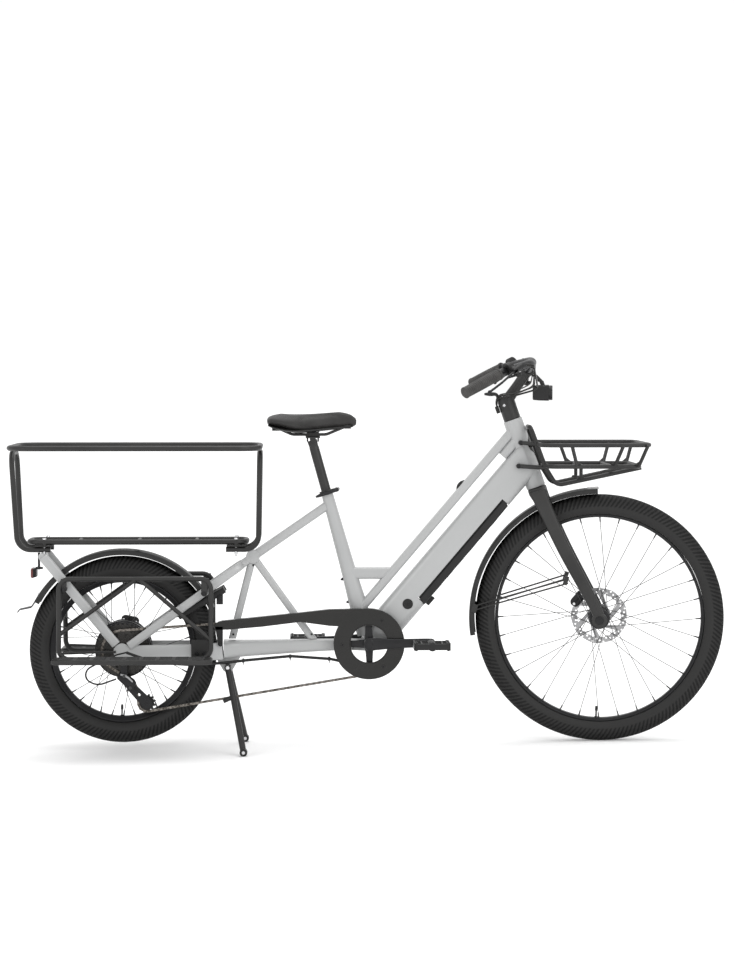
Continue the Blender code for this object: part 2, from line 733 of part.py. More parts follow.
# ---------------------------------------------------------------- battery, seat
BATTERY_PIVOT = tube_point(BATTERY_END - 2, DOWN_TUBE_LOW + 1)
battery_half = DOWN_TUBE_WIDTH / 2 - CHANNEL_WALL - 0.8
piece("battery", PLASTIC, [
    bar([
        (
            tube_point(BATTERY_START + 15, DOWN_TUBE_LOW + BATTERY_DEPTH / 2), BATTERY_DEPTH / 2 - 4,
            battery_half,
        ),
        (
            tube_point(BATTERY_END - 4, DOWN_TUBE_LOW + BATTERY_DEPTH / 2), BATTERY_DEPTH / 2 - 4,
            battery_half,
        ),
    ], square=8.0),
    bar([
        (
            tube_point(BATTERY_START + 2, BATTERY_EDGE - BATTERY_SHOWN / 2 - 0.6), BATTERY_SHOWN / 2 - 1,
            31.5,
        ),
        (tube_point(BATTERY_END - 2, BATTERY_EDGE - BATTERY_SHOWN / 2 - 0.6), BATTERY_SHOWN / 2 - 1, 31.5),
    ], square=5.0),
    block(tube_point(BATTERY_START + 16, DOWN_TUBE_LOW - 4), 26, 22, 16, TUBE_ALONG),
], pivot=BATTERY_PIVOT)

CLAMP_MIDDLE = SEAT_TUBE_LENGTH + 6.5
CLAMP_RADIUS = POST_RADIUS + 6.5
SKEWER_POINT = seat_point(CLAMP_MIDDLE, CLAMP_RADIUS + 9)
CAM_POINT = SKEWER_POINT - 18 * LEFT
piece("seat_clamp", BLACK, [
    ring([
        (-6, around(POST_RADIUS + 0.6, 20)), (6, around(POST_RADIUS + 0.6, 20)), (6, CLAMP_RADIUS),
        (-6, CLAMP_RADIUS),
    ], seat_point(CLAMP_MIDDLE), SEAT_UP),
    block(seat_point(CLAMP_MIDDLE, CLAMP_RADIUS + 6), 16, 20, 11, SEAT_AHEAD),
    drum([(-13, 4.5), (13.5, 4.5)], SKEWER_POINT, sides=10),
])
piece("seat_clamp_lever", STEEL, [
    drum([(-5, 4.5), (5, 4.5)], CAM_POINT, SEAT_UP, 10),
    bar([
        (CAM_POINT + 1 * SEAT_AHEAD - 3.5 * LEFT, 4, 1.6), (CAM_POINT - 22 * SEAT_AHEAD - 9 * LEFT, 5, 1.6),
        (CAM_POINT - 62 * SEAT_AHEAD - 5 * LEFT - 3 * SEAT_UP, 4, 1.6),
    ], square=3.0),
], pivot=CAM_POINT)

POST_TOP = SEAT_TUBE_LENGTH + POST_SHOWN
SADDLE_POINT = seat_point(POST_TOP)
RAIL_Z = SADDLE_POINT.z + 20
piece("seat_post", BLACK, [
    drum([
        (SEAT_TUBE_LENGTH - POST_HIDDEN, POST_RADIUS), (POST_TOP - 4, POST_RADIUS),
    ], BOTTOM_BRACKET, SEAT_UP, 20),
    tube([at(SADDLE_POINT.x, RAIL_Z - 9, -24), at(SADDLE_POINT.x, RAIL_Z - 9, 24)], 8.5, sides=12),
    block(SADDLE_POINT - 4 * SEAT_UP, 28, 24, 22, SEAT_UP),
], [drum([(SEAT_TUBE_LENGTH - POST_HIDDEN - 1, POST_RADIUS - 2.4), (POST_TOP - 30, POST_RADIUS - 2.4)],
         BOTTOM_BRACKET, SEAT_UP, 12)], pivot=SADDLE_POINT)

SADDLE_FRONT = SADDLE_POINT.x + 0.49 * SADDLE_LENGTH
SADDLE_BACK = SADDLE_FRONT - SADDLE_LENGTH
SADDLE_Z = 872.0
saddle_shape = [  # share of the length from the back, half height, half width, rise
    (0.0, 10, 68, 34), (0.1, 22, 82, 26), (0.32, 22, 78, 24), (0.55, 18, 44, 21), (0.8, 15, 23, 21),
    (0.95, 13, 18, 18), (1.0, 6, 10, 14),
]
saddle_rails = [
    tube([
        at(SADDLE_BACK + 28, SADDLE_Z + 12, side * 38), at(SADDLE_BACK + 75, RAIL_Z + 4, side * 22),
        at(SADDLE_FRONT - 90, RAIL_Z + 4, side * 22), at(SADDLE_FRONT - 28, SADDLE_Z + 16, side * 10),
    ], 3.5, sides=6, corner=30)
    for side in (-1, 1)
]
piece("saddle", VINYL, [
    bar([
        (at(SADDLE_BACK + share * SADDLE_LENGTH, SADDLE_Z + rise), half, width, UP)
        for share, half, width, rise in saddle_shape
    ], sides=12, square=2.6),
    *saddle_rails,
], pivot=SADDLE_POINT)

# ---------------------------------------------------------------- drive
GUIDE_POINT = at(-1313, 161.6)
TENSION_POINT = at(-1268.8, 116.0)


def belt(wheels, step=15.0):
    """Closed side-view path round wheels of (centre, radius, turn): +1 is anticlockwise, -1 clockwise."""
    path = []
    count = len(wheels)
    headings = []
    for i, (centre, radius, hand) in enumerate(wheels):
        other, far_radius, far_hand = wheels[(i + 1) % count]
        gap = other - centre
        offset = hand * radius - far_hand * far_radius
        headings.append(math.atan2(gap.z, gap.x) + math.asin(offset / gap.length))
    for i, (centre, radius, hand) in enumerate(wheels):
        start = headings[i - 1] - hand * math.pi / 2
        sweep = (headings[i] - headings[i - 1]) * hand % math.tau
        steps = max(2, round(math.degrees(sweep) / step))
        path += [
            centre + radius * turn(math.degrees(start + hand * sweep * j / steps))
            for j in range(steps + 1)
        ]
    return path


chain_y = -CHAINLINE * LEFT
chain_path = belt([
    (REAR_AXLE + chain_y, SPROCKET_RADIUS, -1), (BOTTOM_BRACKET + chain_y, RING_RADIUS, -1),
    (TENSION_POINT + chain_y, TENSION_RADIUS, -1), (GUIDE_POINT + chain_y, GUIDE_RADIUS, 1),
])
piece("chain", STEEL, [strap(chain_path, CHAIN_HALF_HEIGHT, CHAIN_HALF_WIDTH, closed=True)])

for name, point, radius in (
    ("guide_pulley", GUIDE_POINT, GUIDE_RADIUS), ("tension_pulley", TENSION_POINT, TENSION_RADIUS),
):
    disc = radius - CHAIN_SEAT
    piece(
        name, PLASTIC, [ring([(-2, 3.5), (2, 3.5), (2, disc), (-2, disc)], point + chain_y, sides=20)],
        pivot=point + chain_y,
    )

CAGE = (TENSION_POINT - GUIDE_POINT).normalized()
cage_plates = [
    bar([
        (GUIDE_POINT - 9 * CAGE + y * LEFT, 8, 1.0), (GUIDE_POINT + y * LEFT, 11, 1.0),
        ((GUIDE_POINT + TENSION_POINT) / 2 + y * LEFT, 8, 1.0), (TENSION_POINT + y * LEFT, 11, 1.0),
        (TENSION_POINT + 9 * CAGE + y * LEFT, 8, 1.0),
    ], sides=8)
    for y in (-CHAINLINE - 8, -CHAINLINE + 8)
]
cage_pins = [
    drum(
        [(-CHAINLINE - 8, 3), (-CHAINLINE + 8, 3)], point, sides=10,
    ) for point in (GUIDE_POINT, TENSION_POINT)
]
piece("rear_derailleur", DARK, [
    bar([
        (at(-1343, 194, -66), 12, 10), (at(-1310, 172, -66), 15, 11), (at(-1300, 168, -64), 8, 9),
    ], square=3.0),
    drum([(-75, 10), (-51, 10)], GUIDE_POINT, sides=14),
    bar([(at(-1331, 238, -DROPOUT_Y), 9, 3.2, FORWARD), (at(-1330, 192, -DROPOUT_Y), 9, 3.2, FORWARD)]),
    *cage_plates, *cage_pins,
])


def guard_outline(inset):
    """Outline of the chain guard: most of a circle round the chainring, with an arm back over the chain."""
    points = arc(BOTTOM_BRACKET, GUARD_RADIUS - inset, 150, 455, 22)
    points += [at(-760, 377 - inset), at(-841, 368 - inset), at(-1058, 346 - inset)]
    if inset:
        return points + [at(-1090, 343 - inset), at(-1090, 300), at(-800, 300)]
    return points + [
        at(-1078, 341), at(-1080, 321), at(-1042, 321), at(-947, 329), at(-841, 342), at(-760, 331),
    ]


GUARD_FACE = -59.0
GUARD_BACK = -37.5
lower_run = chain_path[[p.z for p in chain_path].index(min(p.z for p in chain_path))]
ring_foot = min(chain_path, key=lambda p: (p - BOTTOM_BRACKET - chain_y - at(0, -RING_RADIUS)).length)
piece("chain_guard", PLASTIC, [
    slab(guard_outline(0.0), GUARD_FACE, GUARD_BACK),
    slab([
        at(-1078, 330), at(-1056, 330), at(-1056, 274), at(-1070, 274),
    ], GUARD_FACE, GUARD_FACE + GUARD_WALL),
    drum([(-58, 6), (-54.4, 6)], at(-1063, 281), sides=10),
], [
    slab(guard_outline(GUARD_WALL), GUARD_FACE + GUARD_WALL, GUARD_BACK + 5),
    drum([(GUARD_FACE - 5, GUARD_OPENING), (GUARD_FACE + 10, GUARD_OPENING)], BOTTOM_BRACKET, sides=24),
    block(
        (lower_run + ring_foot) / 2 + 4 * LEFT, (ring_foot - lower_run).length, 17, 20,
        (ring_foot - lower_run).normalized(),
    ),
])

CRANK_WAY = turn(CRANK_ANGLE)


def crank_arm(side, way):
    y = side * 69.0
    return bar([
        (BOTTOM_BRACKET + y * LEFT - 10 * way, 12, 6), (BOTTOM_BRACKET + y * LEFT, 18, 7),
        (BOTTOM_BRACKET + y * LEFT + 70 * way, 13.5, 6.5),
        (BOTTOM_BRACKET + y * LEFT + (CRANK_LENGTH + 2) * way, 12, 6.5),
        (BOTTOM_BRACKET + y * LEFT + (CRANK_LENGTH + 12) * way, 6, 5.5),
    ], square=3.0)


ring_seat = RING_RADIUS - CHAIN_SEAT
spider = [
    bar([
        (BOTTOM_BRACKET + chain_y, 13, 2),
        (BOTTOM_BRACKET + chain_y + (ring_seat - 8) * turn(CRANK_ANGLE + 90 * i), 9, 2),
    ], sides=8)
    for i in range(4)
]
piece("crank_right", DARK, [
    crank_arm(-1, CRANK_WAY),
    drum([(-76, 16), (-38, 16)], BOTTOM_BRACKET, sides=20),
    ring([
        (-CHAINLINE - 1.8, ring_seat - 12), (-CHAINLINE + 1.8, ring_seat - 12),
        (-CHAINLINE + 1.8, ring_seat), (-CHAINLINE - 1.8, ring_seat),
    ], BOTTOM_BRACKET, sides=24),
    *spider,
], [
    drum([(-58, SPINDLE_RADIUS + GAP), (-30, SPINDLE_RADIUS + GAP)], BOTTOM_BRACKET, sides=20)
], pivot=BOTTOM_BRACKET)
piece("crank_left", DARK, [
    crank_arm(1, -CRANK_WAY),
    drum([(-57.5, SPINDLE_RADIUS), (74, SPINDLE_RADIUS)], BOTTOM_BRACKET, sides=20),
    drum([(60, 16), (76, 16)], BOTTOM_BRACKET, sides=20),
], pivot=BOTTOM_BRACKET)

for name, side in (("pedal_right", -1), ("pedal_left", 1)):
    centre = BOTTOM_BRACKET - side * CRANK_LENGTH * CRANK_WAY + side * PEDAL_Y * LEFT
    inner = side * (PEDAL_Y - PEDAL_WIDTH / 2)
    half_length, half_width = PEDAL_LENGTH / 2, PEDAL_WIDTH / 2
    rails = [
        block(centre + end * (half_length - 7) * FORWARD, 14, PEDAL_WIDTH, 22) for end in (-1, 1)
    ] + [
        block(centre + edge * (half_width - 6) * LEFT, PEDAL_LENGTH - 10, 12, 18) for edge in (-1, 1)
    ]
    piece(name, PLASTIC, [
        block(centre, 26, PEDAL_WIDTH - 4, 24), *rails,
        drum([
            (min(inner, side * 76.5), 7), (max(inner, side * 76.5), 7),
        ], centre - side * PEDAL_Y * LEFT, sides=12),
    ], pivot=centre)

# ---------------------------------------------------------------- carriers
def ring_path(back, front, half_width, z):
    return [
        at(back, z, -half_width), at(front, z, -half_width), at(front, z, half_width),
        at(back, z, half_width),
    ]


RAIL_FRONT = RAIL_BACK + RAIL_LENGTH
rail_half = RAIL_WIDTH / 2 - RAIL_TUBE
piece("safety_rail", BLACK, [
    tube(ring_path(RAIL_BACK + RAIL_TUBE, RAIL_FRONT - RAIL_TUBE, rail_half, RAIL_HEIGHT), RAIL_TUBE,
         corner=60, steps=4, closed=True),
], pivot=at(RAIL_BACK, RAIL_HEIGHT))

HOOP_BEND = 38.0
for name, foot_x, low_x, top_x in (
    ("rail_hoop_rear", -1533.0, -1624.0, RAIL_BACK + RAIL_TUBE),
    ("rail_hoop_front", -1047.0, -957.0, RAIL_FRONT - RAIL_TUBE),
):
    legs = [
        at(foot_x, FOOT_HEIGHT, -55),
        at(low_x, FOOT_HEIGHT, -57),
        at(top_x, RAIL_HEIGHT - 2 * RAIL_TUBE - GAP, -78),
    ]
    piece(name, BLACK, [
        tube(legs + mirrored(reversed(legs)), RAIL_TUBE, corner=HOOP_BEND, steps=3),
    ])

deck_half = DECK_WIDTH / 2 - RAIL_TUBE
deck_bars = [
    tube([at(x, DECK_HEIGHT, -deck_half), at(x, DECK_HEIGHT, deck_half)], 6.0, sides=5)
    for x in (-1455, -1290, -1130)
]
piece("rack_deck", BLACK, [
    tube(
        ring_path(-1600 + RAIL_TUBE, -983 - RAIL_TUBE, deck_half, DECK_HEIGHT), RAIL_TUBE, corner=30,
        steps=2, closed=True,
    ),
    *deck_bars,
    *[block(at(-1564, DECK_HEIGHT - 9.0, y), 18, 14, 7) for y in (-deck_half, deck_half)],
    *[drum([(FOOT_HEIGHT + RAIL_TUBE + GAP, 6), (DECK_HEIGHT, 6)], at(x, 0, y), UP, 6)
      for x in (-1550, -1019) for y in (-deck_half, deck_half)],
])

for name, side in (("side_frame_right", -1), ("side_frame_left", 1)):
    board_middle = side * (BOARD_INNER + BOARD_WIDTH / 2)
    back, front = -1507.0, -1088.0
    top_y, low_y = side * 95.0, side * (BOARD_INNER + 3)
    corners = [
        at(back, BOARD_HEIGHT, low_y), at(back, SIDE_TOP, top_y),
        at(front, SIDE_TOP, top_y), at(front, BOARD_HEIGHT, low_y),
    ]
    slope = (low_y - top_y) / (SIDE_TOP - BOARD_HEIGHT)
    braces = [
        tube([
            at(-1290 + step, SIDE_TOP - 3, top_y), at(foot_x, foot_z, top_y + slope * (SIDE_TOP - foot_z)),
        ], SIDE_TUBE - 1)
        for step, foot_x, foot_z in ((-8, back, 312.0), (8, front, 297.0))
    ]
    piece(name, BLACK, [
        tube(corners, SIDE_TUBE, corner=30, steps=2, closed=True),
        bar([
            (at(-1521, BOARD_HEIGHT, board_middle), 5, BOARD_WIDTH / 2 - 6),
            (at(-1512, BOARD_HEIGHT, board_middle), 7, BOARD_WIDTH / 2),
            (at(-1092, BOARD_HEIGHT, board_middle), 7, BOARD_WIDTH / 2),
            (at(-1083, BOARD_HEIGHT, board_middle), 5, BOARD_WIDTH / 2 - 6),
        ], square=8.0),
        *braces,
        drum([(min(side * 78.6, top_y), 9), (max(side * 78.6, top_y), 9)], at(-1494, 438), sides=12),
        block(at(-1494, 452, top_y), 16, 10, 30),
        drum([(min(side * 66.5, top_y), 9), (max(side * 66.5, top_y), 9)], at(-1107, 426), sides=12),
        block(at(-1105, 446, top_y), 22, 10, 44),
        block(at(-1119, 246, side * 91), 46, 60, 7),
        block(at(-1119, 268, side * 65.5), 50, 4.5, 52),
        tube([
            at(back, 262, side * 119), at(-1400, 262, side * 84), at(-1352, 262, side * 78.6),
        ], 3.5, sides=5),
    ])

upright_places = [(-96.6, -78.0), (45.8, 25.5), (113.0, 92.0)]
uprights = [
    tube([at(top_x, CARRIER_TOP, side * (CARRIER_TOP_WIDTH / 2 - CARRIER_TUBE)),
          at(low_x, CARRIER_FLOOR, side * (CARRIER_FLOOR_WIDTH / 2 - CARRIER_TUBE))], 5.0, sides=5)
    for top_x, low_x in upright_places for side in (-1, 1)
]
loop_side = [
    at(-200, 884, -62), at(-158, 771, -64), at(-128, 722, -66), at(107, 772, -75),
]
piece("front_rack", BLACK, [
    tube(
        ring_path(-178, 120, CARRIER_TOP_WIDTH / 2 - CARRIER_TUBE, CARRIER_TOP), CARRIER_TUBE, sides=6,
        corner=36, steps=2, closed=True,
    ),
    tube(
        ring_path(-156, 97, CARRIER_FLOOR_WIDTH / 2 - CARRIER_TUBE, CARRIER_FLOOR), CARRIER_TUBE, sides=6,
        corner=30, steps=2, closed=True,
    ),
    *uprights,
    tube(list(reversed(loop_side)) + mirrored(loop_side), CARRIER_TUBE, sides=6, corner=26, steps=2),
    *[tube([
        at(x, CARRIER_FLOOR, -CARRIER_FLOOR_WIDTH / 2 + CARRIER_TUBE),
        at(x, CARRIER_FLOOR, CARRIER_FLOOR_WIDTH / 2 - CARRIER_TUBE),
    ], 5.0, sides=5)
      for x in (-60, 20)],
    *[tube([at(-60, CARRIER_FLOOR, side * 70), at(-60, 737, side * 69)], 5.0, sides=5) for side in (-1, 1)],
    *[tube([at(x, z, side * 41), at(far_x, z + drop, side * far_y)], 6.0)
      for x, z, far_x, drop, far_y in (
          (-225, 840, -181, -3, 62), (-231, 775, -158, -4, 64),
      ) for side in (-1, 1)],
    *[drum([(min(side * low, side * 41), 7), (max(side * low, side * 41), 7)], at(x, z), sides=8)
      for x, z, low in (
          (-225, 840, HEAD_RADIUS + 0.8), (-231, 775, DOWN_TUBE_WIDTH / 2 + 0.8),
      ) for side in (-1, 1)],
])

# ---------------------------------------------------------------- mudguards, lights, lock, stand
def fork_leg(side, extra=0.0):
    y = side * FORK_SPREAD
    half = FORK_HALF_THICKNESS + extra
    bend_point = steered(CROWN_HEIGHT - 60, 6, y)
    return bar([
        (steered(CROWN_HEIGHT - 6, 2, y), 24 + extra, half, STEER_AHEAD),
        (bend_point, 20 + extra, half, STEER_AHEAD),
        (FRONT_AXLE + y * LEFT, 16 + extra, half),
    ], square=3.0)


def fork_crown(extra=0.0):
    return bar([
        (steered(CROWN_HEIGHT - 26), 22 + extra, FORK_SPREAD + 4, STEER_AHEAD),
        (steered(CROWN_HEIGHT - 12), 25 + extra, FORK_SPREAD + FORK_HALF_THICKNESS, STEER_AHEAD),
        (steered(CROWN_HEIGHT + extra), 25 + extra, 38, STEER_AHEAD),
    ], square=4.0)


front_stays = [
    tube([
        at(-94, 464 - drop, side * 62), at(-300, 398 - drop, side * 40), at(-356, 378 - drop, side * 31),
    ], 2.5, sides=5)
    for side in (-1, 1) for drop in (0, 12)
]
piece("front_mudguard", PLASTIC, [
    channel(FRONT_AXLE, FRONT_GUARD_RADIUS, 91, 188, 14, 33, 9, GUARD_SHEET),
    *front_stays,
    *[block(at(-94, 458, side * 62), 10, 12, 26) for side in (-1, 1)],
    tube([at(-140, 674), at(-163, 708)], 8.0),
], [fork_crown(GAP), *[fork_leg(side, GAP) for side in (-1, 1)]], parent=steering)

piece("rear_mudguard", PLASTIC, [
    channel(REAR_AXLE, REAR_GUARD_RADIUS, 25, 151, 16, 34, 9, GUARD_SHEET),
    strap([
        round_rear_axle(REAR_GUARD_RADIUS - 2.5, 146), round_rear_axle(REAR_GUARD_RADIUS - 1.5, 151),
        at(-1631, 366),
    ], 1.5, 31),
])

piece("rear_light", LENS, [
    block(at(-1584, 477), 16, 56, 29),
    block(at(-1570, 490), 20, 12, 6),
    bar([(at(-1570.5, 486), 3, 6, FORWARD), (at(-1570.5, 533), 3, 6, FORWARD)], sides=8, square=6.0),
])

lock_arm = [round_rear_axle(r, LOCK_ANGLE) for r in (184, 331)]
LOCK_WAY = turn(LOCK_ANGLE)
piece("ring_lock", PLASTIC, [
    *[
        block((lock_arm[0] + lock_arm[1]) / 2 + side * 44.5 * LEFT, 147, 13, 18, LOCK_WAY)
        for side in (-1, 1)
    ],
    block(round_rear_axle(311, LOCK_ANGLE), 38, 102, 18, LOCK_WAY),
    block(at(-1065, 407, -44), 18, 13, 32),
])

FOOT_POINT = at(*STAND_FOOT)
leg_way = (FOOT_POINT - STAND_POINT).normalized()
legs = [
    tube([STAND_POINT + side * 34 * LEFT, FOOT_POINT - 24 * leg_way + side * (STAND_SPREAD - 12) * LEFT,
          FOOT_POINT + side * STAND_SPREAD * LEFT], 9.0)
    for side in (-1, 1)
]
PAD_SIDES = 16
pad_corner = around(STAND_FOOT_RADIUS, PAD_SIDES)
foot_pads = [
    drum([
        (side * STAND_SPREAD - 13, pad_corner), (side * STAND_SPREAD + 13, pad_corner),
    ], FOOT_POINT, sides=PAD_SIDES)
    for side in (-1, 1)
]
piece("centre_stand", BLACK, [
    drum([(-45, 9), (45, 9)], STAND_POINT, sides=16),
    *legs, *foot_pads,
    tube([
        STAND_POINT + 80 * leg_way - 70 * LEFT, STAND_POINT + 92 * leg_way - 74 * LEFT - 30 * FORWARD,
    ], 7.0),
], pivot=STAND_POINT)


CALIPER_HALF = 8.8


def caliper(name, axle, disc_y, angle, parent):
    """Disc caliper: a block over the edge of the rotor with a slot for it."""
    centre = axle + (ROTOR_RADIUS - 4) * turn(angle) + disc_y * LEFT
    way = turn(angle + 90)
    return piece(name, DARK, [
        bar([
            (centre - 25 * way, 8, 7), (centre - 17 * way, 14, CALIPER_HALF),
            (centre + 17 * way, 14, CALIPER_HALF),
            (centre + 25 * way, 8, 7),
        ], square=3.0),
    ], [block(centre - 24 * turn(angle), 62, 4.0, 80, turn(angle))], parent=parent)


caliper("front_caliper", FRONT_AXLE, FRONT_ROTOR_Y, 141, steering)
caliper("rear_caliper", REAR_AXLE, REAR_ROTOR_Y, 78, bicycle)

# ---------------------------------------------------------------- steering
piece("fork", BLACK, [
    fork_crown(),
    fork_leg(-1), fork_leg(1),
    *[drum([
        (side * FORK_SPREAD - FORK_HALF_THICKNESS, 21), (side * FORK_SPREAD + FORK_HALF_THICKNESS, 21),
    ], FRONT_AXLE, sides=20)
      for side in (-1, 1)],
    drum([(-FORK_SPREAD - FORK_HALF_THICKNESS - 5, 12), (-FORK_SPREAD, 12)], FRONT_AXLE, sides=14),
    drum([(-FORK_SPREAD, AXLE_RADIUS), (FORK_SPREAD, AXLE_RADIUS)], FRONT_AXLE, sides=14),
    drum([(CROWN_HEIGHT - 5, STEERER_RADIUS), (COLUMN_TOP - 12, STEERER_RADIUS)], steered(0), STEER_UP, 20),
], parent=steering)

CLAMP_POINT = at(-201.0, 1045.0)
BAR_FRONT = at(-187.0, 1067.0, 95.0)
GRIP_START = at(-276.0, 1041.7, 231.0)
GRIP_END = at(-367.0, 993.0, BAR_HALF_WIDTH)
half_bar = [CLAMP_POINT + 26 * LEFT, BAR_FRONT, GRIP_START, GRIP_END]


def handlebar(extra=0.0):
    return tube(
        list(reversed(mirrored(half_bar))) + half_bar, BAR_RADIUS + extra, sides=8, corner=70, steps=3,
    )


GRIP_WAY = (GRIP_END - GRIP_START).normalized()
piece("handlebar", BLACK, [handlebar()], parent=steering, pivot=CLAMP_POINT)
piece("stem", BLACK, [
    drum([(COLUMN_LOW, COLUMN_RADIUS), (COLUMN_TOP, COLUMN_RADIUS)], steered(0), STEER_UP),
    bar([
        (steered(COLUMN_TOP - 17, 0), 17, 16),
        (CLAMP_POINT - 8 * (CLAMP_POINT - steered(COLUMN_TOP - 17)).normalized(), 15, 18),
    ], square=3.0),
    drum([(-21, 19), (21, 19)], CLAMP_POINT, sides=20),
], [
    handlebar(GAP),
    drum([
        (COLUMN_LOW - 5, STEERER_RADIUS + GAP), (COLUMN_TOP - 11.4, STEERER_RADIUS + GAP),
    ], steered(0), STEER_UP, 20),
],
    parent=steering)

for name, hand in (("grip_right", -1), ("grip_left", 1)):
    start, end, way = (Vector((p.x, hand * p.y, p.z)) for p in (GRIP_START, GRIP_END, GRIP_WAY))
    piece(name, RUBBER, [drum([
        (4, GRIP_RADIUS + 1), (9, GRIP_RADIUS - 1), (70, GRIP_RADIUS), (GRIP_LENGTH, GRIP_RADIUS + 0.5), (
            GRIP_LENGTH + 5, GRIP_RADIUS - 4,
        ),
    ], start, way, 12)], [
        handlebar(GAP), drum([
            (GRIP_LENGTH - 2, BAR_RADIUS - 1), (GRIP_LENGTH + 1, BAR_RADIUS - 1),
        ], start, way, 12),
    ], parent=steering)

LEVER_OUT = GRIP_WAY.cross(UP).normalized()
if LEVER_OUT.x < 0:
    LEVER_OUT = -LEVER_OUT
CONTROL_BACK = 34.0
control_point = GRIP_START - CONTROL_BACK * GRIP_WAY
lever_pivot = control_point + 27 * LEVER_OUT + 6 * GRIP_WAY - 5 * UP
LEVER_AXIS = GRIP_WAY.cross(LEVER_OUT).normalized()
for side_name, hand in (("right", -1), ("left", 1)):
    def across(p, hand=hand):
        return Vector((p.x, hand * p.y, p.z))

    grip_way = across(GRIP_WAY)
    piece(f"brake_control_{side_name}", PLASTIC, [
        drum([(-9, BAR_RADIUS + 5), (9, BAR_RADIUS + 5)], across(control_point), grip_way, 14),
        tube([
            across(control_point + 12 * LEVER_OUT - 2 * GRIP_WAY), across(lever_pivot - 4 * GRIP_WAY),
        ], 9.0, sides=10),
        tube([
            across(control_point + 22 * LEVER_OUT - 30 * GRIP_WAY - 4 * UP),
            across(lever_pivot + 2 * GRIP_WAY),
        ], 8.5, sides=10),
    ], [handlebar(GAP), tube([
        across(lever_pivot - 14 * LEVER_AXIS), across(lever_pivot + 14 * LEVER_AXIS),
    ], 3.4, sides=10),
        drum(
            [(-3.6, 16), (3.6, 16)], across(lever_pivot + 5 * LEVER_OUT + 6 * GRIP_WAY), across(LEVER_AXIS),
            14,
        )], parent=steering)
    tip = lever_pivot + 101 * GRIP_WAY + 13 * LEVER_OUT - 14 * UP
    piece(f"brake_lever_{side_name}", DARK, [
        tube([across(lever_pivot + 1.0 * LEVER_OUT), across(lever_pivot + 16 * GRIP_WAY + 9 * LEVER_OUT),
              across(
                  lever_pivot + 60 * GRIP_WAY + 17 * LEVER_OUT - 6 * UP
              ), across(tip)], 3.2, sides=8, corner=20, steps=2),
        tube([across(lever_pivot - 9 * LEVER_AXIS), across(lever_pivot + 9 * LEVER_AXIS)], 3.0, sides=10),
        tube([across(tip - 1 * GRIP_WAY), across(tip + 5 * GRIP_WAY)], 5.0, sides=8),
    ], pivot=across(lever_pivot), parent=steering)


def right(p):
    return Vector((p.x, -p.y, p.z))


shift_pivot = control_point - 21 * GRIP_WAY + 18 * LEVER_OUT - 24 * UP
piece("shift_trigger", PLASTIC, [
    tube([right(shift_pivot - 5 * LEVER_AXIS), right(shift_pivot + 5 * LEVER_AXIS)], 9.0, sides=12),
    tube([right(shift_pivot), right(shift_pivot + 24 * GRIP_WAY - 22 * LEVER_OUT)], 4.0, sides=8),
], pivot=right(shift_pivot), parent=steering)

LAMP_POINT = at(-161.5, 979.5)
piece("headlight", PLASTIC, [
    drum([(-27.5, 12), (-20, 18), (10, 20), (27.5, 20)], LAMP_POINT, FORWARD, 20),
    bar([(LAMP_POINT + at(4, 12), 6, 9, FORWARD), (at(-166, 1013), 6, 9, FORWARD)], square=3.0),
    bar([(at(-166, 1010), 6, 9, FORWARD), (at(-186, 1030), 6, 9, FORWARD)], square=3.0),
], [drum([(-30, 19 + GAP), (30, 19 + GAP)], CLAMP_POINT, sides=20), handlebar(GAP)], parent=steering)

hose_port = steered(COLUMN_TOP - 30, -(COLUMN_RADIUS + 6))


def hose(hand, start, rise, far):
    return tube(bend([
        start, start + Vector((24, 0, 6 + rise)), Vector((-188 + far, hand * 78, 1005 + rise)),
        Vector((-240, hand * 52, 985 + rise)), Vector((-292, hand * 26, 976 + rise)),
        hose_port + hand * 4 * LEFT + 6 * STEER_UP,
    ], 34, 2), 2.6, sides=5)


left_port = control_point + 22 * LEVER_OUT - 30.6 * GRIP_WAY - 4 * UP
piece("control_hoses", PLASTIC, [
    block(hose_port, 20, 22, 10.5, STEER_UP),
    hose(1, left_port + 3 * LEVER_OUT - 9 * GRIP_WAY, -12, 0), hose(
        -1, right(left_port + 3 * LEVER_OUT - 9 * GRIP_WAY), -12, 14,
    ),
], parent=steering)

piece("frame_cables", PLASTIC, [
    tube(bend([
        at(-712, 226, -32), at(-757, 236, -32), at(-869, 244, -31), at(-990, 233, -32), at(-1060, 226, -40),
        at(-1150, 224, -60), at(-1235, 232, -84), at(-1290, 250, -93), at(-1322, 262, -93.5),
    ], 60, 2), 3.5),
])
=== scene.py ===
"""The looks of a cargo bicycle: an electric long-tail bicycle with a rear rack and safety rail, side
footboards, a front carrier and a double-leg centre stand. Every piece is built in the bicycle's own level
frame, in millimetres (x forward from the front axle, y to the rider's left, z up), and then set down where
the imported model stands."""

import json
import math

import bmesh
import bpy
from mathutils import Matrix, Vector

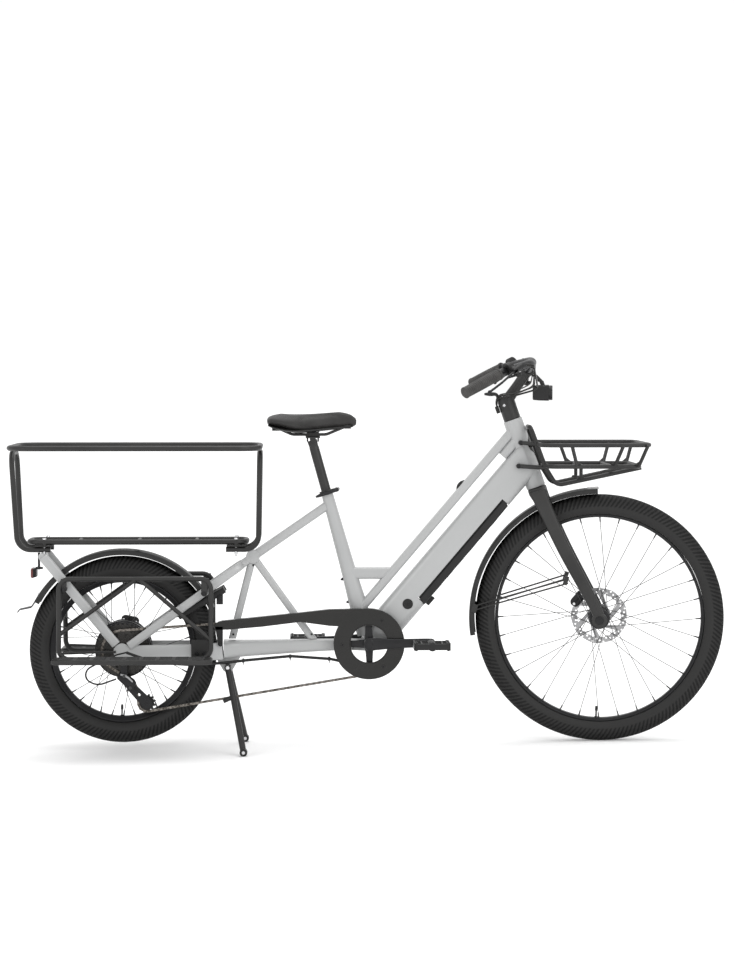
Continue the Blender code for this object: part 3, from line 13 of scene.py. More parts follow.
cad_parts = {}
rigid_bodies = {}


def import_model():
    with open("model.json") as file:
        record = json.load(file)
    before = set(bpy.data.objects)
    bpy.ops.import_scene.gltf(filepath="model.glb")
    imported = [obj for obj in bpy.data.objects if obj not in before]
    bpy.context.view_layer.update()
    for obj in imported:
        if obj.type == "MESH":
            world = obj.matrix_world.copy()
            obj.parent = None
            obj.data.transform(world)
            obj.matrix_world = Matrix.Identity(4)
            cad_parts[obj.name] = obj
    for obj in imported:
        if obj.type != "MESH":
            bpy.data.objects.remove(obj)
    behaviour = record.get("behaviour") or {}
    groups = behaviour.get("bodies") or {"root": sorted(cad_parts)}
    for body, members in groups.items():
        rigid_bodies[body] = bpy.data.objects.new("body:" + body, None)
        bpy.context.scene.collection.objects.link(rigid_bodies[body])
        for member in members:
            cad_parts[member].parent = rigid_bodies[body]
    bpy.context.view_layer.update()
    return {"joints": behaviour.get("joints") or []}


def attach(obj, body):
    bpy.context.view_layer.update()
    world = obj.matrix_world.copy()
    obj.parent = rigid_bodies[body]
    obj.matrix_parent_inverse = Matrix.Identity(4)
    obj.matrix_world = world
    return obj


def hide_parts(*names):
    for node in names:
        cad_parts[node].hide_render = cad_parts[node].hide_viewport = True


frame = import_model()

# ---- where the bicycle stands
# The level frame is the one that a frame builder draws in. The bicycle leans forward from it by about a
# degree, because its centre stand lifts the rear wheel, and its bars are turned to the rider's right.


def at(x, z, y=0.0):
    return Vector((x, y, z))


LEFT = Vector((0.0, 1.0, 0.0))
FORWARD = Vector((1.0, 0.0, 0.0))
UP = Vector((0.0, 0.0, 1.0))
FRONT_RADIUS = 348.0
REAR_RADIUS = 262.0
FRONT_AXLE = at(0.0, FRONT_RADIUS)
REAR_AXLE = at(-1336.0, REAR_RADIUS)
BOTTOM_BRACKET = at(-649.0, 280.0)
STEERED = -6.0

joint_at = {joint["name"]: Vector(joint["pos_m"]) for joint in frame["joints"] if "pos_m" in joint}
joint_axis = {joint["name"]: Vector(joint["axis"]) for joint in frame["joints"]}


def heading(start, end):
    return math.atan2(end.z - start.z, end.x - start.x)


LEAN = heading(REAR_AXLE, BOTTOM_BRACKET) - heading(joint_at["rear_wheel_spin"], joint_at["crank_spin"])
TO_WORLD = (
    Matrix.Translation(joint_at["rear_wheel_spin"]) @ Matrix.Rotation(LEAN, 4, "Y")
    @ Matrix.Scale(0.001, 4) @ Matrix.Translation(-REAR_AXLE)
)
STEERING_TO_WORLD = (
    Matrix.Translation(joint_at["steer"]) @ Matrix.Rotation(math.radians(STEERED), 4, joint_axis["steer"])
    @ Matrix.Translation(-joint_at["steer"]) @ TO_WORLD
)

# ---- camera, lights and floor
# A plain white studio: the camera looks square at the drive side from a little above the wheels, large soft
# boxes light it from above, and a pale matt floor takes the narrow shadows under the tyres and the stand.
# The floor also glows with painted light, faint near its centre and stronger farther out, so that it fades
# into the white backdrop.
camera = bpy.data.objects.new("camera", bpy.data.cameras.new("camera"))
bpy.context.scene.collection.objects.link(camera)
EYE = TO_WORLD @ at(-864, 1052, -7500)
AIM = TO_WORLD @ at(-652, 707)
backward = (EYE - AIM).normalized()
rightward = (TO_WORLD.to_3x3() @ UP).cross(backward).normalized()
facing = Matrix((rightward, backward.cross(rightward), backward)).transposed()
camera.matrix_world = Matrix.Translation(EYE) @ facing.to_4x4()
camera.data.sensor_width = 36.0
camera.data.lens = 98.5
camera.data.clip_end = 100.0
bpy.context.scene.camera = camera
bpy.context.scene.view_settings.view_transform = "Standard"

world = bpy.data.worlds.new("white studio")
bpy.context.scene.world = world
world.use_nodes = True
world.node_tree.nodes["Background"].inputs["Color"].default_value = (1.0, 1.0, 1.0, 1.0)
world.node_tree.nodes["Background"].inputs["Strength"].default_value = 1.02


def soft_box(name, place, size, power):
    lamp = bpy.data.lights.new(name, "AREA")
    lamp.shape = "SQUARE"
    lamp.size = size
    lamp.energy = power
    made = bpy.data.objects.new(name, lamp)
    bpy.context.scene.collection.objects.link(made)
    made.location = place
    made.rotation_mode = "QUATERNION"
    made.rotation_quaternion = (Vector((0.0, 0.0, 0.45)) - made.location).to_track_quat("-Z", "Y")


soft_box("overhead soft box", Vector((0.2, 0.4, 4.2)), 3.0, 70.0)
soft_box("front soft box", Vector((2.6, -3.6, 2.6)), 1.8, 42.0)
soft_box("rear soft box", Vector((-3.0, -3.4, 1.8)), 1.4, 18.0)


class Socket:
    """One output of a shader node: arithmetic on it adds Math nodes, and node() adds any other node."""

    def __init__(self, tree, output):
        self.tree = tree
        self.output = output

    def node(self, kind, settings, inputs, output=0):
        made = self.tree.nodes.new(kind)
        for name, setting in settings.items():
            if name == "stops":
                for element, (place, shade) in zip(made.color_ramp.elements, setting):
                    element.position = place
                    element.color = (shade, shade, shade, 1.0)
            else:
                setattr(made, name, setting)
        for name, value in inputs.items():
            if isinstance(value, Socket):
                self.tree.links.new(value.output, made.inputs[name])
            else:
                made.inputs[name].default_value = value
        return Socket(self.tree, made.outputs[output])

    def math(self, operation, *values):
        return self.node("ShaderNodeMath", {"operation": operation}, dict(enumerate(values)))

    def noise(self, scale, detail=2.0):
        return self.node("ShaderNodeTexNoise", {}, {"Vector": self, "Scale": scale, "Detail": detail})

    def blend(self, dark, light):
        """The colour between two, by this value."""
        return self.node(
            "ShaderNodeMix", {"data_type": "RGBA"}, {0: self, 6: (*dark, 1.0), 7: (*light, 1.0)}, 2,
        )

    def clamped(self, low, high):
        return self.node(
            "ShaderNodeMapRange", {},
            {"Value": self, "From Min": low, "From Max": high, "To Min": 0.0, "To Max": 1.0},
        )

    def __add__(self, other):
        return self.math("ADD", self, other)

    def __mul__(self, other):
        return self.math("MULTIPLY", self, other)

    def __sub__(self, other):
        return self.math("SUBTRACT", self, other)

    def __rsub__(self, other):
        return self.math("SUBTRACT", other, self)

    __radd__ = __add__
    __rmul__ = __mul__


class Finish:
    """A material: its shader, and the object's own coordinates that its patterns are laid out with."""

    def __init__(self, name, colour, roughness, metallic=0.0, coat=0.0, shine=0.5):
        self.material = bpy.data.materials.new(name)
        self.material.use_nodes = True
        tree = self.material.node_tree
        self.shader = tree.nodes["Principled BSDF"]
        self.place = Socket(tree, tree.nodes.new("ShaderNodeTexCoord").outputs["Object"])
        self.set("Base Color", (*colour, 1.0))
        self.set("Roughness", roughness)
        self.set("Metallic", metallic)
        self.set("Coat Weight", coat)
        self.set("Specular IOR Level", shine)

    def set(self, name, value):
        if isinstance(value, Socket):
            self.place.tree.links.new(value.output, self.shader.inputs[name])
        else:
            self.shader.inputs[name].default_value = value

    def bump(self, height, distance, strength=1.0):
        """Raises the surface by a value, distance metres for 1."""
        self.set("Normal", self.place.node(
            "ShaderNodeBump", {}, {"Height": height, "Distance": distance, "Strength": strength},
        ))


floor_paint = Finish("studio floor", (0.92, 0.92, 0.92), 0.9)
floor_paint.set("Base Color", floor_paint.place.noise(3.0).blend((0.90, 0.90, 0.90), (0.93, 0.93, 0.93)))
# Painted light: the floor's emission is faint near the floor's centre and grows farther out, so the far floor
# turns as white as the backdrop while the shadows near the bicycle stay dark.
far_off = floor_paint.place.node("ShaderNodeVectorMath", {"operation": "LENGTH"}, {0: floor_paint.place}, 1)
floor_paint.set("Emission Color", far_off.clamped(0.6, 3.5).blend((0.05, 0.05, 0.05), (0.3, 0.3, 0.3)))
floor_paint.set("Emission Strength", 1.0)
floor_mesh = bpy.data.meshes.new("floor")
floor_mesh.from_pydata([(-30, -9, 0), (30, -9, 0), (30, 60, 0), (-30, 60, 0)], [], [(0, 1, 2, 3)])
floor_mesh.materials.append(floor_paint.material)
floor = bpy.data.objects.new("floor", floor_mesh)
bpy.context.scene.collection.objects.link(floor)

# ---- frame tubes
# Hydroformed aluminium tubes, butt-welded, sanded smooth at the joints and painted a pale grey with a clear
# coat. Each tube is lofted through its own sections; the down tube is cut open underneath for the battery.
BB_HALF_WIDTH = 36.5
TUBE_ANGLE = 49.6
DOWN_TUBE_TOP, DOWN_TUBE_DEPTH, DOWN_TUBE_WIDTH = 39.0, 89.0, 66.0
DOWN_TUBE_LOW = DOWN_TUBE_TOP - DOWN_TUBE_DEPTH
DOWN_TUBE_MIDDLE = DOWN_TUBE_TOP - DOWN_TUBE_DEPTH / 2
SLOT = 26.0
TOP_TUBE_DEPTH, TOP_TUBE_WIDTH = 25.0, 40.0
TOP_TUBE_MIDDLE = DOWN_TUBE_TOP + SLOT + TOP_TUBE_DEPTH / 2
SEAT_ANGLE, SEAT_TUBE_LENGTH, SEAT_TUBE_RADIUS = 74.4, 430.0, 16.5
HEAD_ANGLE, FORK_RAKE, CROWN_HEIGHT, HEAD_LENGTH, HEAD_RADIUS = 70.5, 46.0, 404.0, 200.0, 27.0
HEAD_LOW = CROWN_HEIGHT + 2.3
HEAD_TOP = HEAD_LOW + HEAD_LENGTH
BATTERY_START, BATTERY_LENGTH, BATTERY_SHOWN = 184.0, 364.0, 27.0
CHANNEL_WALL = 5.0
STAY_SPREAD = 72.0
STAY_TOP = at(-973.0, 521.0)


def turn(angle):
    """Unit vector at an angle, in degrees, above the forward direction."""
    return Vector((math.cos(math.radians(angle)), 0.0, math.sin(math.radians(angle))))


STEER_UP, STEER_AHEAD = turn(180.0 - HEAD_ANGLE), turn(90.0 - HEAD_ANGLE)
SEAT_UP, SEAT_AHEAD = turn(180.0 - SEAT_ANGLE), turn(90.0 - SEAT_ANGLE)
TUBE_ALONG, TUBE_ABOVE = turn(TUBE_ANGLE), turn(TUBE_ANGLE + 90.0)


def steered(along, ahead=0.0, left=0.0):
    """Point by its distance along the steering axis, and ahead and to the left of it."""
    return FRONT_AXLE - FORK_RAKE * STEER_AHEAD + along * STEER_UP + ahead * STEER_AHEAD + left * LEFT


def seat_point(along, ahead=0.0, left=0.0):
    return BOTTOM_BRACKET + along * SEAT_UP + ahead * SEAT_AHEAD + left * LEFT


def tube_point(along, above, left=0.0):
    return BOTTOM_BRACKET + along * TUBE_ALONG + above * TUBE_ABOVE + left * LEFT


def reach_to_head(above):
    start = tube_point(0.0, above) - steered(0.0)
    return -start.dot(STEER_AHEAD) / TUBE_ALONG.dot(STEER_AHEAD)


def round_rear_axle(radius, angle, left=0.0):
    return REAR_AXLE + radius * turn(angle) + left * LEFT


def mirrored(points):
    return [Vector((p.x, -p.y, p.z)) for p in points]


def skin(sections, closed=False):
    """Points and faces through sections of equal count, capped at the ends or joined back to the start."""
    count = len(sections[0])
    spans = len(sections) if closed else len(sections) - 1
    faces = []
    for i in range(spans):
        low, high = i * count, (i + 1) % len(sections) * count
        for j in range(count):
            k = (j + 1) % count
            faces.append((low + j, low + k, high + k, high + j))
    if not closed:
        faces.append(tuple(range(count)))
        faces.append(tuple(range(spans * count, (spans + 1) * count)))
    return [point for section in sections for point in section], faces


def bend(points, radius, steps=8, closed=False):
    """The path with each corner replaced by an arc."""
    path = [] if closed else [points[0]]
    count = len(points)
    for i in range(count) if closed else range(1, count - 1):
        here = points[i]
        into, out = here - points[i - 1], points[(i + 1) % count] - here
        room = 0.49 * min(into.length, out.length)
        into.normalize()
        out.normalize()
        angle = into.angle(out)
        if angle < 0.02:
            path.append(here)
            continue
        reach = min(radius * math.tan(angle / 2), room)
        real = reach / math.tan(angle / 2)
        centre = here + (out - into).normalized() * (real / math.cos(angle / 2))
        spoke = here - reach * into - centre
        axis = into.cross(out)
        for step in range(steps + 1):
            path.append(centre + Matrix.Rotation(angle * step / steps, 3, axis) @ spoke)
    if not closed:
        path.append(points[-1])
    return path


def directions(path, closed=False):
    last = len(path) - 1
    found = []
    for i, here in enumerate(path):
        before = path[i - 1] if i or closed else here
        after = path[(i + 1) % len(path)] if i < last or closed else here
        found.append((after - before).normalized())
    return found


def tube(points, radius, sides=20, corner=0.0, steps=8, closed=False):
    """Round tube along a path, with its corners bent to a radius."""
    path = bend(points, corner, steps, closed) if corner else points
    way = directions(path, closed)
    across = way[0].cross(LEFT if abs(way[0].y) < 0.8 else UP).normalized()
    sections = []
    for i, here in enumerate(path):
        if i:
            across = way[i - 1].rotation_difference(way[i]) @ across
        other = way[i].cross(across)
        sections.append([
            here + radius * (math.cos(a) * across + math.sin(a) * other)
            for a in (math.tau * (j + 0.5) / sides for j in range(sides))
        ])
    return skin(sections, closed)


def smooth_stations(stations, steps=6):
    """Stations added between the given ones on a smooth curve, so that a bar swells and bends gently."""
    made = []
    for i in range(len(stations) - 1):
        row = [stations[max(0, min(len(stations) - 1, i + k))] for k in (-1, 0, 1, 2)]
        for step in range(steps):
            t = step / steps
            weights = (
                -0.5 * t + t * t - 0.5 * t ** 3, 1 - 2.5 * t * t + 1.5 * t ** 3,
                0.5 * t + 2 * t * t - 1.5 * t ** 3, -0.5 * t * t + 0.5 * t ** 3,
            )
            centre = Vector()
            height = width = 0.0
            for weight, station in zip(weights, row):
                centre += weight * station[0]
                height += weight * station[1]
                width += weight * station[2]
            made.append((centre, height, width, *stations[i][3:]) if step == 0 else (centre, height, width))
    return made + [stations[-1]]


def bar(stations, sides=32, square=2.6):
    """Bar through stations of centre, half height, half width and, at a mitred end, its height direction."""
    sections = []
    for station, way in zip(stations, directions([station[0] for station in stations])):
        centre, height, width = station[:3]
        level = Vector((way.x, 0.0, way.z)).normalized()
        normal = Vector((-level.z, 0.0, level.x))
        lean = station[3] if len(station) > 3 else normal
        rise = lean * (height / abs(lean.dot(normal)))
        section = []
        for j in range(sides):
            a = math.tau * (j + 0.5) / sides
            c, s = math.cos(a), math.sin(a)
            section.append(
                centre + LEFT * width * math.copysign(abs(c) ** (2 / square), c)
                + rise * math.copysign(abs(s) ** (2 / square), s)
            )
        sections.append(section)
    return skin(sections)


def about(axis):
    """Two directions across an axis."""
    first = axis.cross(FORWARD if abs(axis.x) < 0.9 else UP).normalized()
    return first, axis.cross(first).normalized()


def circle(along, radius, centre, axis, sides):
    one, two = about(axis)
    return [
        centre + along * axis + radius * (math.cos(a) * one + math.sin(a) * two)
        for a in (math.tau * (j + 0.5) / sides for j in range(sides))
    ]


def drum(profile, centre, axis=LEFT, sides=32):
    """Solid of revolution through circles of (distance along the axis, radius)."""
    return skin([circle(along, radius, centre, axis, sides) for along, radius in profile])


def ring(profile, centre, axis=LEFT, sides=48):
    """Turned ring whose cross-section is a closed outline of (distance along the axis, radius)."""
    one, two = about(axis)
    return skin([
        [
            centre + along * axis + radius * (math.cos(a) * one + math.sin(a) * two)
            for along, radius in profile
        ]
        for a in (math.tau * j / sides for j in range(sides))
    ], closed=True)


def slab(outline, low, high):
    """Outline of side-view points, given its thickness across the bicycle."""
    return skin([[p + y * LEFT for p in outline] for y in (low, high)])


def block(centre, length, width, height, along=FORWARD):
    """Box with its length along a side-view direction and its width across the bicycle."""
    above = Vector((-along.z, 0.0, along.x))
    return skin([
        [
            centre + end * along + side * LEFT + rise * above
            for side, rise in (
                (-width / 2, -height / 2), (width / 2, -height / 2),
                (width / 2, height / 2), (-width / 2, height / 2),
            )
        ]
        for end in (-length / 2, length / 2)
    ])


def arc(centre, radius, start, end, steps):
    """Side-view points round an arc, angles in degrees."""
    return [centre + radius * turn(start + (end - start) * i / steps) for i in range(steps + 1)]


def join(shapes, place=TO_WORLD):
    """One mesh of several shapes, set down where the bicycle stands, with its faces pointing outwards."""
    points, faces = [], []
    for shape_points, shape_faces in shapes:
        start = len(points)
        points += [place @ point for point in shape_points]
        faces += [[start + i for i in face] for face in shape_faces]
    mesh = bpy.data.meshes.new("shape")
    mesh.from_pydata(points, [], faces)
    work = bmesh.new()
    work.from_mesh(mesh)
    bmesh.ops.recalc_face_normals(work, faces=work.faces)
    work.to_mesh(mesh)
    work.free()
    mesh.shade_smooth()
    return mesh


def hand_in(made, finish, body, nodes=(), sharp=35.0, bevel=0.0):
    """Gives a piece its finish, its edges and its body, and hides the CAD nodes it stands for."""
    made.data.set_sharp_from_angle(angle=math.radians(sharp))
    made.data.materials.clear()
    made.data.materials.append(finish.material)
    if bevel:
        edge = made.modifiers.new("broken edges", "BEVEL")
        edge.width = bevel * 0.001
        edge.segments = 2
        edge.limit_method = "ANGLE"
        edge.angle_limit = math.radians(sharp)
        edge.harden_normals = True
    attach(made, body)
    if nodes:
        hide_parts(*nodes)
    return made


STEERED_BODIES = ("steering", "front_wheel", "lever_right", "lever_left", "shift_trigger")


def set_down(body):
    """Where the pieces of a body stand: those of the front end are turned with the bars."""
    return STEERING_TO_WORLD if body in STEERED_BODIES else TO_WORLD


def piece(name, shapes, finish, body, nodes=(), bevel=0.0, cuts=(), sharp=35.0, place=None):
    """One named piece of the bicycle from its shapes, with its cuts taken out."""
    place = place or set_down(body)
    made = bpy.data.objects.new(name, join(shapes, place))
    bpy.context.scene.collection.objects.link(made)
    if cuts:
        cutters = bpy.data.collections.new(f"{name} cutters")
        bpy.context.scene.collection.children.link(cutters)
        for cut in cuts:
            cutters.objects.link(bpy.data.objects.new("cutter", join([cut], place)))
        cutting = made.modifiers.new("cut", "BOOLEAN")
        cutting.operand_type = "COLLECTION"
        cutting.collection = cutters
        cutting.operation = "DIFFERENCE"
        cutting.solver = "EXACT"
        mesh = bpy.data.meshes.new_from_object(made.evaluated_get(bpy.context.evaluated_depsgraph_get()))
        made.modifiers.clear()
        made.data = mesh
        for cutter in list(cutters.objects):
            bpy.data.objects.remove(cutter)
        bpy.data.collections.remove(cutters)
    return hand_in(made, finish, body, nodes, sharp, bevel)


frame_paint = Finish("pale grey frame paint", (0.365, 0.37, 0.37), 0.36, coat=0.35)
cloud = frame_paint.place.noise(2.5, 3.0).clamped(0.3, 0.7)
frame_paint.set("Base Color", cloud.blend((0.345, 0.35, 0.35), (0.385, 0.39, 0.39)))
frame_paint.set("Roughness", frame_paint.place.noise(60.0) * 0.10 + 0.31)
frame_paint.bump(frame_paint.place.noise(420.0, 3.0), 0.00004)

BEAM_END = -1052.0
DROPOUT_Y = STAY_SPREAD - 1.5
STRUT_HALF = 10.3


def chainstay(side):
    return bar(smooth_stations([
        (at(BEAM_END - 6, 261.5, side * 42), 25.2, 8), (at(-1110, 258.5, side * 51), 23, 7),
        (REAR_AXLE + side * DROPOUT_Y * LEFT + 14 * FORWARD, 17, 3.8),
    ]), square=4.0)


def seat_stay(side):
    return bar(smooth_stations([
        (STAY_TOP + at(-4, -3, side * 6), 11, 10), (STAY_TOP + at(-27, -19, side * 8), 11, 11),
        (STAY_TOP + at(-66, -46, side * 46), 11.5, 9), (round_rear_axle(25, 37, side * STAY_SPREAD), 12, 8),
    ], 8), square=3.2)


def rack_strut(side):
    return bar([
        (round_rear_axle(25, 128, side * STAY_SPREAD), 13, 8), (at(-1553, 526, side * 66), 13.5, 8),
    ], square=3.2)


piece("head_tube_shell", [ring([
    (HEAD_LOW, 15.0), (HEAD_TOP, 15.0), (HEAD_TOP, HEAD_RADIUS - 0.6), (HEAD_TOP - 0.6, HEAD_RADIUS),
    (HEAD_LOW + 0.6, HEAD_RADIUS), (HEAD_LOW, HEAD_RADIUS - 0.6),
], steered(0), STEER_UP)], frame_paint, "frame", ["head_tube"])

web_middle = DOWN_TUBE_TOP + SLOT / 2
battery_edge = DOWN_TUBE_LOW + BATTERY_SHOWN
battery_middle = BATTERY_START + BATTERY_LENGTH / 2
slot_end = reach_to_head(DOWN_TUBE_TOP) - 62
piece("down_tube_shell", [bar([
    (tube_point(4, DOWN_TUBE_MIDDLE), DOWN_TUBE_DEPTH / 2 - 14, DOWN_TUBE_WIDTH / 2 - 8),
    (tube_point(75, DOWN_TUBE_MIDDLE), DOWN_TUBE_DEPTH / 2, DOWN_TUBE_WIDTH / 2),
    (
        tube_point(reach_to_head(DOWN_TUBE_MIDDLE), DOWN_TUBE_MIDDLE), DOWN_TUBE_DEPTH / 2,
        DOWN_TUBE_WIDTH / 2, STEER_UP,
    ),
], sides=48, square=4.0)], frame_paint, "frame", ["down_tube"], cuts=[
    block(
        tube_point(
            battery_middle, battery_edge - 30,
        ), BATTERY_LENGTH, DOWN_TUBE_WIDTH - 2 * CHANNEL_WALL, 100,
        TUBE_ALONG,
    ),
    block(
        tube_point(battery_middle, battery_edge - 30), BATTERY_LENGTH, DOWN_TUBE_WIDTH + 20, 60, TUBE_ALONG,
    ),
    block(
        tube_point(
            battery_middle + 4, battery_edge + 22,
        ), BATTERY_LENGTH - 8, DOWN_TUBE_WIDTH - 2 * CHANNEL_WALL,
        50, TUBE_ALONG,
    ),
])
piece("tube_web", [bar([
    (tube_point(slot_end, web_middle), SLOT / 2 + 2, 17),
    (tube_point(reach_to_head(web_middle), web_middle), SLOT / 2 + 2, 24, STEER_UP),
], square=3.0)], frame_paint, "frame", bevel=1.5)

BRIDGE_Z, BRIDGE_HALF = 474.0, 16.5
bridge_start = seat_point((BRIDGE_Z - BOTTOM_BRACKET.z) / SEAT_UP.z)
bridge_end = tube_point((BRIDGE_Z - BOTTOM_BRACKET.z) / TUBE_ALONG.z, 0) - FORWARD * (
    TOP_TUBE_MIDDLE / TUBE_ALONG.z
)
piece("top_tube_shell", [bar([
    (tube_point(50, TOP_TUBE_MIDDLE), TOP_TUBE_DEPTH / 2, TOP_TUBE_WIDTH / 2),
    (
        tube_point(reach_to_head(TOP_TUBE_MIDDLE), TOP_TUBE_MIDDLE), TOP_TUBE_DEPTH / 2, TOP_TUBE_WIDTH / 2,
        STEER_UP,
    ),
], square=3.6)], frame_paint, "frame", ["top_tube"])
piece("seat_tube_shell", [
    bar(smooth_stations([
        (seat_point(24), 26, 24), (seat_point(110), 25, 22), (seat_point(228), 20.5, 18),
        (seat_point(SEAT_TUBE_LENGTH), SEAT_TUBE_RADIUS, SEAT_TUBE_RADIUS),
    ]), sides=40, square=2.1),
    bar([(bridge_start, BRIDGE_HALF, 15), (bridge_end, BRIDGE_HALF, 15)], square=4.0),
], frame_paint, "frame", ["seat_tube"],
      cuts=[drum([(140, 14.2), (SEAT_TUBE_LENGTH + 10, 14.2)], BOTTOM_BRACKET, SEAT_UP, 40)])
piece("bracket_shell", [
    drum([(-BB_HALF_WIDTH, 21), (1 - BB_HALF_WIDTH, 22), (BB_HALF_WIDTH - 1, 22), (BB_HALF_WIDTH, 21)],
         BOTTOM_BRACKET),
], frame_paint, "frame")
piece("rear_beam_shell", [
    bar(smooth_stations([
        (at(-649, 272), 16.5, 20), (at(-750, 272.7), 16.3, 20), (at(-980, 264.5), 22.5, 27),
        (at(BEAM_END - 2, 261.5), 25.5, 52),
    ]), sides=40, square=4.0),
    *[slab(
        [at(-1080, 245), at(-1006, 245), *arc(at(-1043.6, 213.4), 16, 330, 210, 8)], y - 3, y + 3,
    ) for y in (-20, 20)],
], frame_paint, "frame", ["rear_beam"], bevel=0.6, sharp=40)
piece("chainstay_shells", [
    shape for side in (-1, 1) for shape in (
        chainstay(side),
        drum([(side * DROPOUT_Y - 3.8, 22.4), (side * DROPOUT_Y - 3.2, 23), (side * DROPOUT_Y + 3.2, 23),
              (side * DROPOUT_Y + 3.8, 22.4)], REAR_AXLE, sides=40),
    )
], frame_paint, "frame", ["chainstays"])
piece("upper_stay_shell", [
    bar([(seat_point(404), 12.5, 12), (STAY_TOP, 12.5, 12)], square=3.2),
    drum([(-15, 18), (-14, 19), (14, 19), (15, 18)], STAY_TOP, sides=40),
    bar([(STAY_TOP, STRUT_HALF, 10), (at(-1031, 291), STRUT_HALF, 10, FORWARD)], square=3.2),
], frame_paint, "frame", ["upper_stay"])
piece("front_strut_shell", [
    bar([(STAY_TOP, STRUT_HALF, 10), (at(-807, 290.8), STRUT_HALF, 10, FORWARD)], square=3.2),
], frame_paint, "frame", ["front_strut"])
piece("seat_stay_shells", [seat_stay(-1), seat_stay(1)], frame_paint, "frame", ["seat_stays"])
piece("rack_strut_shells", [
    rack_strut(-1), rack_strut(1), tube([at(-1557, 526, -70), at(-1557, 526, 70)], 9.5),
], frame_paint, "frame", ["rack_struts"], bevel=1.0)

# ---- copies
# A bicycle repeats small turned and stamped parts: spokes, nipples, links, bolts. Each is modelled once and
# set on points that carry their own turn and stretch.


def copies_tree():
    """Geometry Nodes that set a shape on every point, by the point's own turn and stretch."""
    tree = bpy.data.node_groups.new("copies on points", "GeometryNodeTree")
    for name, kind in (
        ("Points", "NodeSocketGeometry"), ("Shape", "NodeSocketObject"), ("Size", "NodeSocketFloat"),
        ("Finish", "NodeSocketMaterial"),
    ):
        tree.interface.new_socket(name, in_out="INPUT", socket_type=kind)
    tree.interface.new_socket("Copies", in_out="OUTPUT", socket_type="NodeSocketGeometry")
    entry, leave = tree.nodes.new("NodeGroupInput"), tree.nodes.new("NodeGroupOutput")
    shape = tree.nodes.new("GeometryNodeObjectInfo")
    turned = tree.nodes.new("GeometryNodeInputNamedAttribute")
    turned.data_type = "QUATERNION"
    turned.inputs["Name"].default_value = "turn"
    stretched = tree.nodes.new("GeometryNodeInputNamedAttribute")
    stretched.data_type = "FLOAT_VECTOR"
    stretched.inputs["Name"].default_value = "stretch"
    sized = tree.nodes.new("ShaderNodeVectorMath")
    sized.operation = "SCALE"
    instances = tree.nodes.new("GeometryNodeInstanceOnPoints")
    real = tree.nodes.new("GeometryNodeRealizeInstances")
    finished = tree.nodes.new("GeometryNodeSetMaterial")
    for output, target in (
        (entry.outputs["Shape"], shape.inputs["Object"]),
        (stretched.outputs["Attribute"], sized.inputs[0]),
        (entry.outputs["Size"], sized.inputs["Scale"]),
        (entry.outputs["Points"], instances.inputs["Points"]),
        (shape.outputs["Geometry"], instances.inputs["Instance"]),
        (turned.outputs["Attribute"], instances.inputs["Rotation"]),
        (sized.outputs[0], instances.inputs["Scale"]),
        (instances.outputs["Instances"], real.inputs["Geometry"]),
        (real.outputs["Geometry"], finished.inputs["Geometry"]),
        (entry.outputs["Finish"], finished.inputs["Material"]),
        (finished.outputs["Geometry"], leave.inputs["Copies"]),
    ):
        tree.links.new(output, target)
    return tree


COPIES = copies_tree()


def facing_way(way, up=UP):
    """Turn that points a shape's own Z along a way, and its X as near as can be along up."""
    side = (up - way * up.dot(way)).normalized()
    return Matrix((side, way.cross(side), way)).transposed().to_quaternion()


def copies(name, shapes, places, finish, body, nodes=(), place=None, sharp=35.0, size=1.0):
    """One piece made of copies of a small shape, at places of (point, turn, stretch)."""
    place = place or set_down(body)
    shape = bpy.data.objects.new(f"{name} shape", join(shapes, Matrix()))
    shape.data.set_sharp_from_angle(angle=math.radians(sharp))
    bpy.context.scene.collection.objects.link(shape)
    points = bpy.data.meshes.new(name)
    points.from_pydata([point for point, _, _ in places], [], [])
    turned = points.attributes.new("turn", "QUATERNION", "POINT")
    for i, (_, turning, _) in enumerate(places):
        turned.data[i].value = turning
    stretched = points.attributes.new("stretch", "FLOAT_VECTOR", "POINT")
    for i, (_, _, stretch) in enumerate(places):
        stretched.data[i].vector = stretch
    pattern = bpy.data.objects.new(f"{name} points", points)
    bpy.context.scene.collection.objects.link(pattern)
    setting = pattern.modifiers.new("copies", "NODES")
    setting.node_group = COPIES
    named = {item.name: item.identifier for item in COPIES.interface.items_tree if item.in_out == "INPUT"}
    setting[named["Shape"]] = shape
    setting[named["Size"]] = size
    setting[named["Finish"]] = finish.material
    mesh = bpy.data.meshes.new_from_object(pattern.evaluated_get(bpy.context.evaluated_depsgraph_get()))
    mesh.transform(place)
    bpy.data.objects.remove(pattern)
    bpy.data.objects.remove(shape)
    made = bpy.data.objects.new(name, mesh)
    bpy.context.scene.collection.objects.link(made)
    return hand_in(made, finish, body, nodes, sharp)


def plate(outlines, half, centre, across=FORWARD, up=UP):
    """Flat sheet cut to outlines of (across, up) points, the first outside and the others holes."""
    curve = bpy.data.curves.new("plate", "CURVE")
    curve.dimensions = "2D"
    curve.fill_mode = "BOTH"
    curve.extrude = half
    for outline in outlines:
        spline = curve.splines.new("POLY")
        spline.points.add(len(outline) - 1)
        for point, (x, y) in zip(spline.points, outline):
            point.co = (x, y, 0.0, 1.0)
        spline.use_cyclic_u = True
    flat = bpy.data.objects.new("plate", curve)
    mesh = bpy.data.meshes.new_from_object(flat)
    work = bmesh.new()
    work.from_mesh(mesh)
    bmesh.ops.remove_doubles(work, verts=work.verts, dist=0.001)
    work.to_mesh(mesh)
    work.free()
    deep = up.cross(across)
    points = [centre + across * v.co.x + up * v.co.y + deep * v.co.z for v in mesh.vertices]
    faces = [tuple(face.vertices) for face in mesh.polygons]
    bpy.data.objects.remove(flat)
    return points, faces


